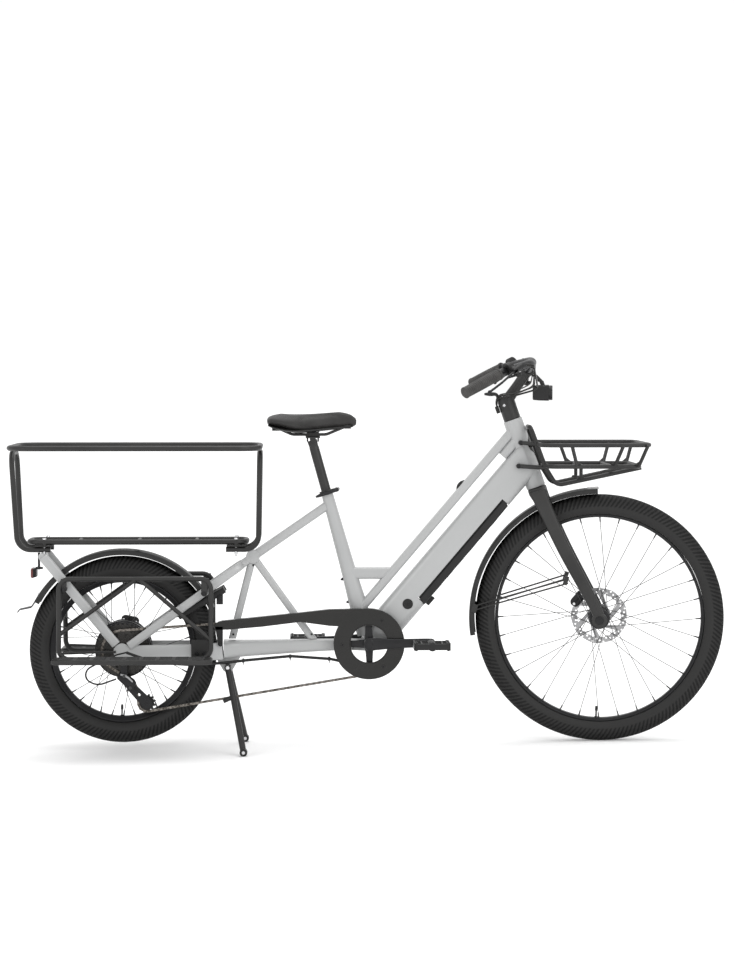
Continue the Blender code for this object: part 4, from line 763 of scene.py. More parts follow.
def round_outline(radius, centre=(0.0, 0.0), sides=24, start=0.0):
    return [
        (centre[0] + radius * math.cos(start + math.tau * i / sides),
         centre[1] + radius * math.sin(start + math.tau * i / sides))
        for i in range(sides)
    ]


def polar(radius, angle):
    return radius * math.cos(math.radians(angle)), radius * math.sin(math.radians(angle))


# ---- tyres
# Wide street tyres of matt black rubber, moulded with fine slanted sipes across the shoulders and thin
# rings on the sidewalls, held by the air in them on the shoulders of the rims.
TREAD_DEPTH = 2.6
TREAD_PITCH = 11.4


def smooth_step(low, high, value):
    t = max(0.0, min(1.0, (value - low) / (high - low)))
    return t * t * (3 - 2 * t)


def tyre_shape(axle, outer, seat, width):
    depth = outer - seat
    sipes = round(math.tau * outer / TREAD_PITCH)
    rounds = sipes * 6
    rows = 44
    sections = []
    for i in range(rounds):
        angle = 360.0 * i / rounds
        out = turn(angle)
        section = []
        for j in range(rows + 1):
            lean = -136.0 + 272.0 * j / rows
            y = width / 2 * math.sin(math.radians(lean))
            radius = seat + depth * (0.425 + 0.575 * math.cos(math.radians(lean)))
            away = abs(lean)
            shoulder = smooth_step(13, 18, away) * (1 - smooth_step(70, 76, away))
            middle = 1 - smooth_step(8, 11, away)
            slant = i / 6 + away / 13.0
            side_cut = max(0.0, math.sin(math.tau * slant)) ** 1.5
            middle_cut = 0.5 * max(0.0, math.sin(math.tau * (i / 18 + (lean / 16)))) ** 4
            rib = 0.7 * (
                smooth_step(79, 81, away) * (1 - smooth_step(81, 83, away))
                + smooth_step(106, 109, away) * (1 - smooth_step(109, 112, away))
            )
            sunk = -TREAD_DEPTH * (shoulder * side_cut + middle * middle_cut) + rib
            leaning = math.radians(lean)
            section.append(
                axle + (radius + sunk * math.cos(leaning)) * out + (y + sunk * math.sin(leaning)) * LEFT
            )
        sections.append(section)
    return skin(sections, closed=True)


def grooved_rubber(name, axle, outer):
    """Tyre rubber with slanted grooves near its outer radius, the grooves darkened with painted shade against
    the lighter lands between them.
    """
    made = Finish(name, (0.012, 0.012, 0.012), 0.62, shine=0.28)
    middle = TO_WORLD @ axle
    split = made.place.node("ShaderNodeSeparateXYZ", {}, {0: made.place})
    across = split - middle.x
    above = made.place.node("ShaderNodeSeparateXYZ", {}, {0: made.place}, 2) - middle.z
    square = across * across + above * above
    radius = square.math("SQRT", square)
    grooves = round(math.tau * outer / 13.0)
    wave = above.math("ARCTAN2", above, across) * grooves + radius * 330.0
    land = wave.math("SINE", wave).clamped(-0.35, 0.25)
    shoulder = radius.clamped((outer - 36) / 1000, (outer - 32) / 1000)
    # The groove pattern is the bump's height, and in the colour it is painted shade that darkens the grooves.
    groove_depth_and_painted_shade = 1.0 - shoulder * (1.0 - land)
    made.set("Base Color", groove_depth_and_painted_shade.blend((0.002, 0.002, 0.002), (0.017, 0.0168, 0.0165)))
    made.set("Roughness", made.place.noise(180.0) * 0.16 + 0.52)
    made.bump(groove_depth_and_painted_shade, 0.0012)
    return made


piece("front_tyre_rubber", [tyre_shape(FRONT_AXLE, FRONT_RADIUS, 293.0, 56.0)],
      grooved_rubber("front tyre rubber", FRONT_AXLE, FRONT_RADIUS), "front_wheel",
      ["front_tyre"], sharp=60)
piece("rear_tyre_rubber", [tyre_shape(REAR_AXLE, REAR_RADIUS, 204.0, 59.0)],
      grooved_rubber("rear tyre rubber", REAR_AXLE, REAR_RADIUS), "rear_wheel",
      ["rear_tyre"], sharp=60)

# ---- rims, spokes and valves
# Double-walled alloy rims, anodised black, drilled for steel spokes that cross from both hub flanges and
# are drawn tight by black nipples. Each tube's valve comes out between two spokes.
RIM_WIDTH = 30.0
FRONT_RIM_INNER, REAR_RIM_INNER = 283.5, 187.5
black_alloy = Finish("black anodised alloy", (0.016, 0.016, 0.017), 0.34, metallic=0.4, shine=0.3)
black_alloy.set("Roughness", black_alloy.place.noise(90.0, 3.0) * 0.18 + 0.26)
black_alloy.set(
    "Base Color", black_alloy.place.noise(25.0).blend((0.012, 0.012, 0.013), (0.024, 0.024, 0.025)),
)
black_alloy.bump(black_alloy.place.noise(700.0), 0.00003)
spoke_steel = Finish("black spoke steel", (0.06, 0.06, 0.06), 0.36, metallic=0.7, shine=0.3)
spoke_steel.set("Roughness", spoke_steel.place.noise(300.0) * 0.2 + 0.25)
spoke_steel.set("Base Color", spoke_steel.place.noise(40.0).blend((0.04, 0.04, 0.04), (0.09, 0.09, 0.09)))


def rim_shape(axle, seat, inner):
    half = RIM_WIDTH / 2
    outer = seat - 0.3
    profile = [
        (half - 1.5, outer), (half, outer - 1.2), (half, outer - 3.5), (half - 0.6, outer - 4.5),
        (half * 0.62, inner + 0.8), (half * 0.5, inner),
    ]
    return ring(profile + [(-y, r) for y, r in reversed(profile)], axle, sides=144)


def lacing(axle, count, flange, rim_radius, flange_y, lace):
    """Places of the spokes and of their nipples, each flange's own leading and trailing."""
    spokes, nipples = [], []
    for i in range(count):
        side = 1 if i % 2 else -1
        lead = 1 if i // 2 % 2 else -1
        angle = 360.0 * i / count
        start = axle + (flange - 2) * turn(angle + lead * lace) + (
            side * flange_y[side > 0] + side * lead * 1.6
        ) * LEFT
        end = axle + rim_radius * turn(angle) + side * 4.0 * LEFT
        way = (end - start).normalized()
        spokes.append((start, facing_way(way, LEFT), (1.0, 1.0, (end - start).length)))
        nipples.append((end, facing_way(way, LEFT), (1.0, 1.0, 1.0)))
    return spokes, nipples


unit_spoke = [drum([(0.0, 0.95), (1.0, 0.95)], Vector(), UP, 8)]
nipple = [drum([(-15, 1.2), (-12, 1.9), (-3, 2.1), (0.5, 3.0)], Vector(), UP, 10)]
for name, axle, count, flange, rim_inner, flange_y, lace, body, place in (
    ("front", FRONT_AXLE, 32, 29.0, FRONT_RIM_INNER, (30, 30), 62.0, "front_wheel", STEERING_TO_WORLD),
    ("rear", REAR_AXLE, 36, 79.5, REAR_RIM_INNER, (14, 33), 14.0, "rear_wheel", TO_WORLD),
):
    seat = 293.0 if name == "front" else 204.0
    piece(f"{name}_rim_alloy", [rim_shape(axle, seat, rim_inner)], black_alloy, body,
          [f"{name}_rim"], place=place)
    spokes, nipples = lacing(axle, count, flange, rim_inner, flange_y, lace)
    copies(f"{name}_spokes", unit_spoke, spokes, spoke_steel, body, place=place)
    copies(f"{name}_nipples", nipple, nipples, spoke_steel, body, place=place)
    valve_way = -turn(88.5)
    piece(f"{name}_valve", [
        drum([(rim_inner - 32, 1.6), (rim_inner - 31, 3.4), (rim_inner - 19, 3.8), (rim_inner - 18, 2.6)],
             axle, valve_way, 16),
        drum([(rim_inner - 18, 2.4), (rim_inner + 2, 2.4)], axle, valve_way, 16),
        drum([(rim_inner - 2.5, 4.6), (rim_inner + 0.5, 4.6)], axle, valve_way, 6),
    ], black_alloy, body, place=place)

# ---- hubs and brake rotors
# The front hub is a turned alloy shell with two spoke flanges; the rear one is the flat drum of a hub
# motor, with ribs and a ring of cover screws. Steel rotors with waved edges and drilled faces are bolted to
# their left sides.
ROTOR_RADIUS = 80.0
FRONT_ROTOR_Y, REAR_ROTOR_Y = 41.0, 56.0
rotor_steel = Finish("ground rotor steel", (0.50, 0.50, 0.51), 0.30, metallic=1.0)
rotor_steel.set("Roughness", rotor_steel.place.noise(240.0, 3.0) * 0.22 + 0.22)
rotor_steel.set("Base Color", rotor_steel.place.noise(30.0).blend((0.26, 0.26, 0.265), (0.40, 0.40, 0.405)))
rotor_steel.bump(rotor_steel.place.noise(1200.0), 0.00002)


def rotor_shape(centre, bore):
    """Brake disc: a drilled band with a waved edge, on six slanted arms."""
    edge = [
        polar(ROTOR_RADIUS - 0.6 - 1.4 * (0.5 + 0.5 * math.cos(math.radians(9.0 * i * 2.0))), 2.0 * i)
        for i in range(180)
    ]
    windows = []
    for arm in range(6):
        base = 60.0 * arm
        inner = [polar(33.0, base + step) for step in range(8, 50, 6)]
        outer = [
            polar(61.5 + 2.0 * math.cos(math.radians(24.0 * step)), base + 28 + step)
            for step in range(50, 4, -5)
        ]
        windows.append(inner + outer)
    drilled = [round_outline(2.7, polar((66.5, 71.0, 75.2)[i % 3], 10.0 * i / 1.25), 10) for i in range(45)]
    bolts = [round_outline(2.6, polar(26.0, 60.0 * i + 30), 10) for i in range(6)]
    return plate([edge, round_outline(bore, sides=40), *windows, *drilled, *bolts], 0.9, centre)


bolt_head = [
    drum([(0, 4.4), (2.2, 4.4), (3.2, 3.6)], Vector(), UP, 16),
    drum([(3.0, 1.9), (3.25, 1.9)], Vector(), UP, 6),
]


def bolt_circle(centre, radius, count, way=LEFT, start=0.0, size=1.0):
    return [
        (centre + radius * turn(start + 360.0 * i / count), facing_way(way, FORWARD), (size, size, size))
        for i in range(count)
    ]


hub_end = 62.0 - 11.0 - 1.5
piece(
    "front_hub_shell",
    [
        ring([
            (-hub_end, 7), (hub_end, 7), (hub_end, 13), (hub_end - 1, 14), (FRONT_ROTOR_Y - 1, 14),
            (FRONT_ROTOR_Y - 1.5, 28), (FRONT_ROTOR_Y - 4, 28), (FRONT_ROTOR_Y - 5, 19), (33, 19), (32, 28),
            (31.5, 29), (28.5, 29), (28, 28), (27, 19), (18, 16.5), (-18, 16.5), (-27, 19), (-28, 28),
            (-28.5, 29), (-31.5, 29), (-32, 28), (-33, 16), (-hub_end + 1, 12), (-hub_end, 11),
        ], FRONT_AXLE, sides=64)
    ],
    black_alloy, "front_wheel", ["front_hub"],
)
piece("front_rotor_disc", [rotor_shape(FRONT_AXLE + FRONT_ROTOR_Y * LEFT, 14.4)], rotor_steel, "front_wheel",
      ["front_rotor"])
copies(
    "front_rotor_bolts", bolt_head, bolt_circle(FRONT_AXLE + (FRONT_ROTOR_Y + 1) * LEFT, 22, 6),
    spoke_steel, "front_wheel", size=0.8,
)

MOTOR_RIGHT, MOTOR_LEFT, MOTOR_RADIUS = -20.0, 40.0, 79.5
motor_profile = [
    (-26, 7), (62, 7), (62, 15.5), (61, 16), (REAR_ROTOR_Y - 1, 16), (REAR_ROTOR_Y - 1.5, 30),
    (REAR_ROTOR_Y - 4, 30), (51, 38), (49, 42), (46, 62), (MOTOR_LEFT + 1, 76),
    (MOTOR_LEFT - 1, MOTOR_RADIUS), (34.6, MOTOR_RADIUS), (34, 76.5), (30, 75.5), (12, 75.5), (9.6, 76.5),
    (9, MOTOR_RADIUS), (-4, MOTOR_RADIUS), (-5, 76), (MOTOR_RIGHT + 1, 76), (MOTOR_RIGHT - 1, 74),
    (-25, 42), (-26, 38),
]
piece("motor_shell", [ring(motor_profile, REAR_AXLE, sides=96)], black_alloy, "rear_wheel",
      ["rear_hub"])
copies("motor_screws", bolt_head, [
    *bolt_circle(REAR_AXLE + 44 * LEFT, 67, 12), *bolt_circle(REAR_AXLE - 22 * LEFT, 68, 12, -LEFT, 15),
], spoke_steel, "rear_wheel", size=0.8)
piece("rear_rotor_disc", [rotor_shape(REAR_AXLE + REAR_ROTOR_Y * LEFT, 16.4)], rotor_steel, "rear_wheel",
      ["rear_rotor"])
copies("rear_rotor_bolts", bolt_head, bolt_circle(REAR_AXLE + (REAR_ROTOR_Y + 1) * LEFT, 23, 6), spoke_steel,
       "rear_wheel", size=0.8)

# ---- chain, sprockets and chain guard
# Steel roller chain at half-inch pitch over a chainring, a small sprocket of the cassette and two jockey
# wheels. A glossy moulded guard hangs over the upper run and wraps the chainring, open on its inner side.
PITCH = 12.7
CHAINLINE = 44.0
RING_RADIUS, SPROCKET_RADIUS = 85.0, 57.0
GUIDE_POINT, GUIDE_RADIUS = at(-1313, 161.6), 15.0
TENSION_POINT, TENSION_RADIUS = at(-1268.8, 116.0), 24.0
GUARD_RADIUS, GUARD_OPENING, GUARD_WALL = 99.0, 52.0, 2.5
GUARD_FACE, GUARD_BACK = -59.0, -37.5
chain_y = -CHAINLINE * LEFT

chain_steel = Finish("oiled chain steel", (0.12, 0.11, 0.10), 0.32, metallic=1.0)
oily = chain_steel.place.noise(160.0, 3.0).clamped(0.35, 0.65)
chain_steel.set("Base Color", oily.blend((0.040, 0.036, 0.031), (0.24, 0.22, 0.20)))
chain_steel.set("Roughness", oily * 0.25 + 0.2)
dark_steel = Finish("blackened sprocket steel", (0.035, 0.034, 0.032), 0.34, metallic=0.85, shine=0.3)
dark_steel.set("Roughness", dark_steel.place.noise(140.0, 3.0) * 0.25 + 0.22)
dark_steel.set(
    "Base Color", dark_steel.place.noise(70.0).blend((0.020, 0.0195, 0.0185), (0.065, 0.063, 0.060)),
)
gloss_plastic = Finish("glossy black plastic", (0.009, 0.0085, 0.0075), 0.22, coat=0.08, shine=0.3)
gloss_plastic.set("Roughness", gloss_plastic.place.noise(35.0, 3.0) * 0.14 + 0.17)
gloss_plastic.set(
    "Base Color", gloss_plastic.place.noise(8.0).blend((0.007, 0.0068, 0.006), (0.012, 0.0115, 0.0105)),
)
gloss_plastic.bump(gloss_plastic.place.noise(160.0), 0.00005)
black_plastic = Finish("textured black plastic", (0.012, 0.012, 0.012), 0.5, shine=0.3)
black_plastic.set("Roughness", black_plastic.place.noise(120.0, 3.0) * 0.2 + 0.4)
black_plastic.set(
    "Base Color", black_plastic.place.noise(18.0).blend((0.009, 0.009, 0.009), (0.017, 0.017, 0.017)),
)
black_plastic.bump(black_plastic.place.noise(1600.0, 3.0), 0.00008)


def belt(wheels, step=3.0):
    """Closed side-view path round wheels of (centre, radius, turn): +1 is anticlockwise, -1 clockwise."""
    path = []
    count = len(wheels)
    headings = []
    for i, (centre, radius, hand) in enumerate(wheels):
        other, far_radius, far_hand = wheels[(i + 1) % count]
        gap = other - centre
        offset = hand * radius - far_hand * far_radius
        headings.append(math.atan2(gap.z, gap.x) + math.asin(offset / gap.length))
    for i, (centre, radius, hand) in enumerate(wheels):
        start = headings[i - 1] - hand * math.pi / 2
        sweep = (headings[i] - headings[i - 1]) * hand % math.tau
        steps = max(2, round(math.degrees(sweep) / step))
        path += [
            centre + radius * turn(math.degrees(start + hand * sweep * j / steps)) for j in range(steps + 1)
        ]
    return path


def paced(path, pitch):
    """Points a chain's pitch apart round a closed path, an even number of them."""
    lengths = [(path[(i + 1) % len(path)] - point).length for i, point in enumerate(path)]
    total = sum(lengths)
    count = 2 * round(total / pitch / 2)
    points, i, gone = [], 0, 0.0
    for k in range(count):
        target = total * k / count
        while gone + lengths[i] < target:
            gone += lengths[i]
            i += 1
        points.append(path[i].lerp(path[(i + 1) % len(path)], (target - gone) / lengths[i]))
    return points


def link_plate(y):
    """Waisted plate of one link, along X from pin to pin."""
    outline = [
        (0.5 * PITCH * end + 3.9 * math.cos(a), (3.9 if abs(math.sin(a)) < 0.95 else 3.2) * math.sin(a))
        for end, start in ((1, -90), (-1, 90)) for a in (math.radians(start + 30 * k) for k in range(7))
    ]
    return skin([[Vector((x, y + side * 0.45, z)) for x, z in outline] for side in (-1, 1)])


chain_path = belt([
    (REAR_AXLE + chain_y, SPROCKET_RADIUS, -1), (BOTTOM_BRACKET + chain_y, RING_RADIUS, -1),
    (TENSION_POINT + chain_y, TENSION_RADIUS, -1), (GUIDE_POINT + chain_y, GUIDE_RADIUS, 1),
])
pins = paced(chain_path, PITCH)
links = []
for i, pin in enumerate(pins):
    way = (pins[(i + 1) % len(pins)] - pin).normalized()
    links.append(((pin + pins[(i + 1) % len(pins)]) / 2, Matrix(
        (way, LEFT, way.cross(LEFT))
    ).transposed().to_quaternion(), (1.0, 1.0, 1.0)))
pin_shape = [drum([(-3.4, 1.4), (3.4, 1.4)], Vector((PITCH / 2, 0, 0)), LEFT, 8)]
copies("chain_outer_links", [link_plate(-3.0), link_plate(3.0), *pin_shape], links[::2], chain_steel, "frame",
       ["chain"])
copies("chain_inner_links", [
    link_plate(-2.0), link_plate(2.0), *pin_shape,
    *[drum([(-1.6, 3.6), (1.6, 3.6)], Vector((end * PITCH / 2, 0, 0)), LEFT, 12) for end in (-1, 1)],
], links[1::2], chain_steel, "frame")


def toothed(radius, teeth, rise=2.6, start=0.0):
    """Outline of a sprocket: seats for the rollers between rounded teeth."""
    outline = []
    for i in range(teeth):
        for share, height in ((0.0, -3.6), (0.14, -3.3), (0.30, 0.2), (0.44, rise), (0.56, rise), (0.70, 0.2),
                              (0.86, -3.3)):
            outline.append(polar(radius + height, start + 360.0 * (i + share) / teeth))
    return outline


def sprocket_teeth(radius):
    return round(math.tau * radius / PITCH)


sprockets = [
    plate([
        toothed(radius, sprocket_teeth(radius), min(2.6, 76.5 - radius)),
        *([round_outline(6.0, polar(radius - 13.0, 36.0 * i), 12) for i in range(10)] if radius > 50 else []),
        round_outline(radius - 26.0 if radius > 50 else 8.0, sides=36),
    ], 0.9, REAR_AXLE - y * LEFT)
    for y, radius in ((28.4, 73.5), (32.4, 68.5), (36.2, 62.5), (CHAINLINE, SPROCKET_RADIUS), (48.4, 46.0),
                      (52.2, 39.0), (56.0, 33.0), (59.8, 28.0))
]
piece("cassette_sprockets", sprockets, dark_steel, "cassette", ["cassette"], sharp=30)
piece("cassette_body", [
    ring([(-61, 7), (-61, 21), (-59.5, 22), (-27.5, 22), (-27.5, 7)], REAR_AXLE, sides=40),
    ring([(-50, 30), (-49, 31), (-30, 31), (-30, 46), (-29, 47), (-28, 47), (-28, 20), (-50, 20)],
         REAR_AXLE, sides=48),
], black_alloy, "cassette")


def jockey_wheel(name, point, radius):
    teeth = round(math.tau * radius / PITCH)
    holes = [
        round_outline(radius * 0.16, polar(radius * 0.5, 72.0 * i), 16)
        for i in range(5)
    ] if radius > 20 else []
    piece(name, [
        plate([toothed(radius, teeth, 2.4), round_outline(3.4, sides=16), *holes], 1.1, point + chain_y),
    ], black_plastic, name.replace("_wheel", ""), [name.replace("_wheel", "")])


jockey_wheel("guide_pulley_wheel", GUIDE_POINT, GUIDE_RADIUS)
jockey_wheel("tension_pulley_wheel", TENSION_POINT, TENSION_RADIUS)


def guard_outline(inset):
    """Outline of the chain guard: most of a circle round the chainring, with an arm back over the chain."""
    points = arc(BOTTOM_BRACKET, GUARD_RADIUS - inset, 150, 455, 70)
    points += [at(-760, 377 - inset), at(-841, 368 - inset), at(-1058, 346 - inset)]
    if inset:
        return points + [at(-1090, 343 - inset), at(-1090, 300), at(-800, 300)]
    return points + [
        *arc(at(-1074, 337), 4, 120, 180, 3), at(-1080, 321), at(-1042, 321), at(-947, 329), at(-841, 342),
        at(-760, 331),
    ]


lower_run = min(chain_path, key=lambda p: p.z)
ring_foot = min(chain_path, key=lambda p: (p - BOTTOM_BRACKET - chain_y - at(0, -RING_RADIUS)).length)
piece(
    "chain_guard_shell", [slab(guard_outline(0.0), GUARD_FACE, GUARD_BACK)], gloss_plastic, "frame",
    ["chain_guard"], bevel=1.1,
    cuts=[
        slab(guard_outline(GUARD_WALL), GUARD_FACE + GUARD_WALL, GUARD_BACK + 5),
        drum([(GUARD_FACE - 5, GUARD_OPENING), (GUARD_FACE + 10, GUARD_OPENING)], BOTTOM_BRACKET, sides=72),
        block(
            (lower_run + ring_foot) / 2 + 4 * LEFT, (ring_foot - lower_run).length, 17, 20,
            (ring_foot - lower_run).normalized(),
        ),
        block(at(-770, 333), 14, 40, 8, turn(-12)),
    ],
)
piece("chain_guard_bead", [
    ring([(-60.2, GUARD_OPENING + 0.4), (-60.2, GUARD_OPENING + 2.6), (-58.6, GUARD_OPENING + 3.4),
          (-58.6, GUARD_OPENING + 0.4)], BOTTOM_BRACKET, sides=96),
    tube(bend([
        at(-1050, 340, -58.2), at(-841, 361, -58.2), at(-745, 369, -58.2), at(-655, 368, -58.2),
    ], 60), 1.0,
         sides=8),
], gloss_plastic, "frame")
piece("chain_guard_hanger", [
    slab([at(-1078, 330), at(-1056, 330), *arc(at(-1063, 281), 7, 0, -180, 8)], GUARD_FACE, GUARD_FACE + 2.5),
], black_plastic, "frame", bevel=0.5)
copies("chain_guard_screws", bolt_head, [
    (at(-1063, 281, GUARD_FACE), facing_way(-LEFT, FORWARD), (0.9, 0.9, 0.9)),
    *[(BOTTOM_BRACKET + 75 * turn(a) + GUARD_FACE * LEFT, facing_way(-LEFT, FORWARD), (0.8, 0.8, 0.8))
      for a in (62, 182, 302)],
], black_alloy, "frame")

# ---- cranks and pedals
# Forged alloy cranks, anodised black, pressed on the bottom bracket's spindle. The right one carries the
# chainring on four spider arms. Broad platform pedals turn on steel spindles and hold clear reflectors in
# both edges.
CRANK_LENGTH, CRANK_ANGLE = 170.0, 1.5
PEDAL_Y, PEDAL_LENGTH, PEDAL_WIDTH = 145.0, 100.0, 96.0
CRANK_WAY = turn(CRANK_ANGLE)


def crank_arm(side, way):
    hub = BOTTOM_BRACKET + side * 69.0 * LEFT
    return bar(smooth_stations([
        (hub - 13 * way, 8, 5.5), (hub - 8 * way, 14.5, 6.5), (hub, 18, 7), (hub + 70 * way, 13.5, 6.5),
        (hub + (CRANK_LENGTH - 8) * way, 12, 6.5), (hub + (CRANK_LENGTH + 8) * way, 10, 6),
        (hub + (CRANK_LENGTH + 12) * way, 6, 5.5),
    ], 5), sides=40, square=3.0)


piece("right_crank_arm", [
    crank_arm(-1, CRANK_WAY),
    drum([(-76, 14), (-75, 15.5), (-70, 16), (-38, 16)], BOTTOM_BRACKET, sides=40),
    drum([(-77.0, 9.5), (-75.5, 10.5)], BOTTOM_BRACKET, sides=28),
    *[bar(smooth_stations([
        (BOTTOM_BRACKET + chain_y - 4 * LEFT, 13, 2.6),
        (BOTTOM_BRACKET + chain_y - 3 * LEFT + 40 * turn(CRANK_ANGLE + 90 * i), 9.5, 2.2),
        (BOTTOM_BRACKET + chain_y + 72 * turn(CRANK_ANGLE + 90 * i), 9, 1.8),
    ]), sides=24, square=3.0) for i in range(4)],
], black_alloy, "crank", ["crank_right"])
piece("chainring", [plate([
    toothed(RING_RADIUS, sprocket_teeth(RING_RADIUS)), round_outline(66.0, sides=96),
    *[round_outline(4.0, polar(72.5, 30.0 * i + 15), 12) for i in range(12)],
], 1.1, BOTTOM_BRACKET + chain_y)], dark_steel, "crank", sharp=30)
copies("chainring_bolts", bolt_head, [
    (BOTTOM_BRACKET - (CHAINLINE + 1.5) * LEFT + 68 * turn(CRANK_ANGLE + 90 * i), facing_way(-LEFT, FORWARD),
     (1.1, 1.1, 0.5)) for i in range(4)
], spoke_steel, "crank")
piece("left_crank_arm", [
    crank_arm(1, -CRANK_WAY),
    drum([(60, 16), (74, 16), (75, 15), (76, 13)], BOTTOM_BRACKET, sides=40),
    drum([(75.5, 10.5), (77, 9.5)], BOTTOM_BRACKET, sides=28),
    drum([(-57.5, 12), (66, 12)], BOTTOM_BRACKET, sides=24),
], black_alloy, "crank", ["crank_left"])

clear_reflector = Finish("clear prism reflector", (0.55, 0.56, 0.57), 0.15, metallic=0.4)
prism = clear_reflector.place.node(
    "ShaderNodeTexVoronoi", {"feature": "F1"}, {"Vector": clear_reflector.place, "Scale": 420.0},
)
clear_reflector.bump(prism, 0.0006)
clear_reflector.set("Base Color", prism.blend((0.32, 0.33, 0.34), (0.72, 0.73, 0.74)))
for side_name, side in (("right", -1), ("left", 1)):
    centre = BOTTOM_BRACKET - side * CRANK_LENGTH * CRANK_WAY + side * PEDAL_Y * LEFT
    body = f"pedal_{side_name}"
    half_length, half_width = PEDAL_LENGTH / 2, PEDAL_WIDTH / 2
    piece(f"{body}_cage", [
        *[block(centre + end * (half_length - 5) * FORWARD, 10, PEDAL_WIDTH - 8, 21) for end in (-1, 1)],
        *[block(centre + edge * (half_width - 5) * LEFT, PEDAL_LENGTH - 8, 9, 17) for edge in (-1, 1)],
        *[block(centre + edge * 16 * LEFT, PEDAL_LENGTH - 12, 5, 15) for edge in (-1, 1)],
        drum([
            (-half_width + 2, 11), (-half_width + 5, 12.2), (half_width - 5, 12.2), (half_width - 2, 11),
        ], centre),
        *[bar([(centre + end * 26 * FORWARD, 9, 40), (centre + end * 31 * FORWARD, 9, 40)],
              sides=16, square=6) for end in (-1, 1)],
    ], black_plastic, body, [body], bevel=1.2)
    piece(f"{body}_reflectors", [
        block(centre + end * (half_length - 0.6) * FORWARD, 1.8, 58, 13) for end in (-1, 1)
    ], clear_reflector, body, bevel=0.4)
    piece(f"{body}_spindle", [drum([
        (min(side * 62.0, side * 96.0), 7), (max(side * 62.0, side * 96.0), 7),
    ], centre - side * PEDAL_Y * LEFT, sides=24)], spoke_steel, body)
    grip_pins = [
        (centre + Vector((x, y, rise * 10.0)), facing_way(rise * UP, FORWARD), (0.35, 0.35, 0.7))
        for x in (-44, 44) for y in (-36, -18, 0, 18, 36) for rise in (-1, 1)
    ]
    copies(f"{body}_studs", bolt_head, grip_pins, black_alloy, body)

# ---- rear derailleur
# A long-cage derailleur hung from the right dropout: black knuckles with a bright inlay on the outside, and
# two stamped plates that carry the jockey wheels. Its cable arrives in a loop of black housing.
CAGE = (TENSION_POINT - GUIDE_POINT).normalized()
cage_up = Vector((-CAGE.z, 0.0, CAGE.x))
cage_length = (TENSION_POINT - GUIDE_POINT).length


def cage_plate(y):
    """Plate along the two jockey wheels, cut out between them."""
    around_wheels = [
        *[polar(12, a) for a in range(90, 271, 15)],
        *[(cage_length + x, z) for x, z in (polar(15.5, a) for a in range(-75, 76, 15))],
    ]
    window = [*round_outline(5.0, (cage_length * 0.5, 0.0), 16)]
    return plate([around_wheels, window], 0.9, GUIDE_POINT + y * LEFT, CAGE, cage_up)


piece("derailleur_cage", [
    cage_plate(-CHAINLINE - 8), cage_plate(-CHAINLINE + 8),
    *[drum([
        (-CHAINLINE - 9.6, 3.6), (-CHAINLINE - 8.6, 4.2), (-CHAINLINE + 8.6, 4.2), (-CHAINLINE + 9.6, 3.6),
    ],
           point, sides=20) for point in (GUIDE_POINT, TENSION_POINT)],
], black_alloy, "frame", ["rear_derailleur"], bevel=0.3)
piece("derailleur_knuckles", [
    bar(smooth_stations([
        (at(-1347, 197, -66), 8, 8), (at(-1340, 193, -66), 12, 10), (at(-1312, 173, -66), 15, 11),
        (at(-1300, 167, -65), 9, 8.5),
    ]), sides=32, square=3.0),
    drum([(-75, 8.5), (-74, 10), (-51, 10)], GUIDE_POINT, sides=32),
    drum([(-76, 8), (-75, 9), (-64, 9)], at(-1330, 194), sides=28),
    bar([(at(-1331, 238, -DROPOUT_Y), 9, 3.2, FORWARD), (at(-1330, 192, -DROPOUT_Y), 9, 3.2, FORWARD)],
        sides=24, square=3),
], black_alloy, "frame", bevel=0.6)
piece("derailleur_inlay", [bar(smooth_stations([
    (at(-1340, 199, -74.5), 2.6, 2.0), (at(-1322, 193, -76.5), 3.4, 1.6), (at(-1306, 178, -75.5), 2.4, 1.6),
]), sides=16)], rotor_steel, "frame")
piece("derailleur_cable", [tube(bend([
    at(-1322, 262, -93), at(-1348, 256, -94), at(-1402, 232, -94), at(-1434, 214, -90), at(-1436, 186, -84),
    at(-1404, 168, -78), at(-1352, 186, -72),
], 46), 2.4, sides=12)], black_plastic, "frame")
piece("derailleur_screws", [
    drum(
        [(-78, 4.2), (-75.5, 5)], at(-1330, 194), sides=20,
    ), drum([(-77, 4.2), (-74.5, 5)], GUIDE_POINT, sides=20),
], spoke_steel, "frame")

# ---- battery
# A long pack in a moulded black case that sits in the channel under the down tube. It has a sealing lip,
# six low ribs underneath and a pull handle at its foot; the charging socket in the tube's side has a flat
# plug.
piece("battery_case", [
    bar([
        (tube_point(BATTERY_START + 15, DOWN_TUBE_LOW + 37), 33, DOWN_TUBE_WIDTH / 2 - CHANNEL_WALL - 0.8),
        (tube_point(BATTERY_START + BATTERY_LENGTH - 4, DOWN_TUBE_LOW + 37), 33,
         DOWN_TUBE_WIDTH / 2 - CHANNEL_WALL - 0.8),
    ], sides=40, square=8.0),
    bar(smooth_stations([
        (tube_point(BATTERY_START + 1, battery_edge - 12), 7, 27), (
            tube_point(BATTERY_START + 8, battery_edge - 14.5), 12, 31,
        ),
        (tube_point(BATTERY_START + 30, battery_edge - 14.1), 12.5, 31.5),
        (tube_point(BATTERY_START + BATTERY_LENGTH - 30, battery_edge - 14.1), 12.5, 31.5),
        (tube_point(BATTERY_START + BATTERY_LENGTH - 8, battery_edge - 12.5), 11, 31),
        (tube_point(BATTERY_START + BATTERY_LENGTH - 1, battery_edge - 9), 6, 27),
    ], 4), sides=48, square=5.0),
], black_plastic, "battery_pack", ["battery"], bevel=0.8)
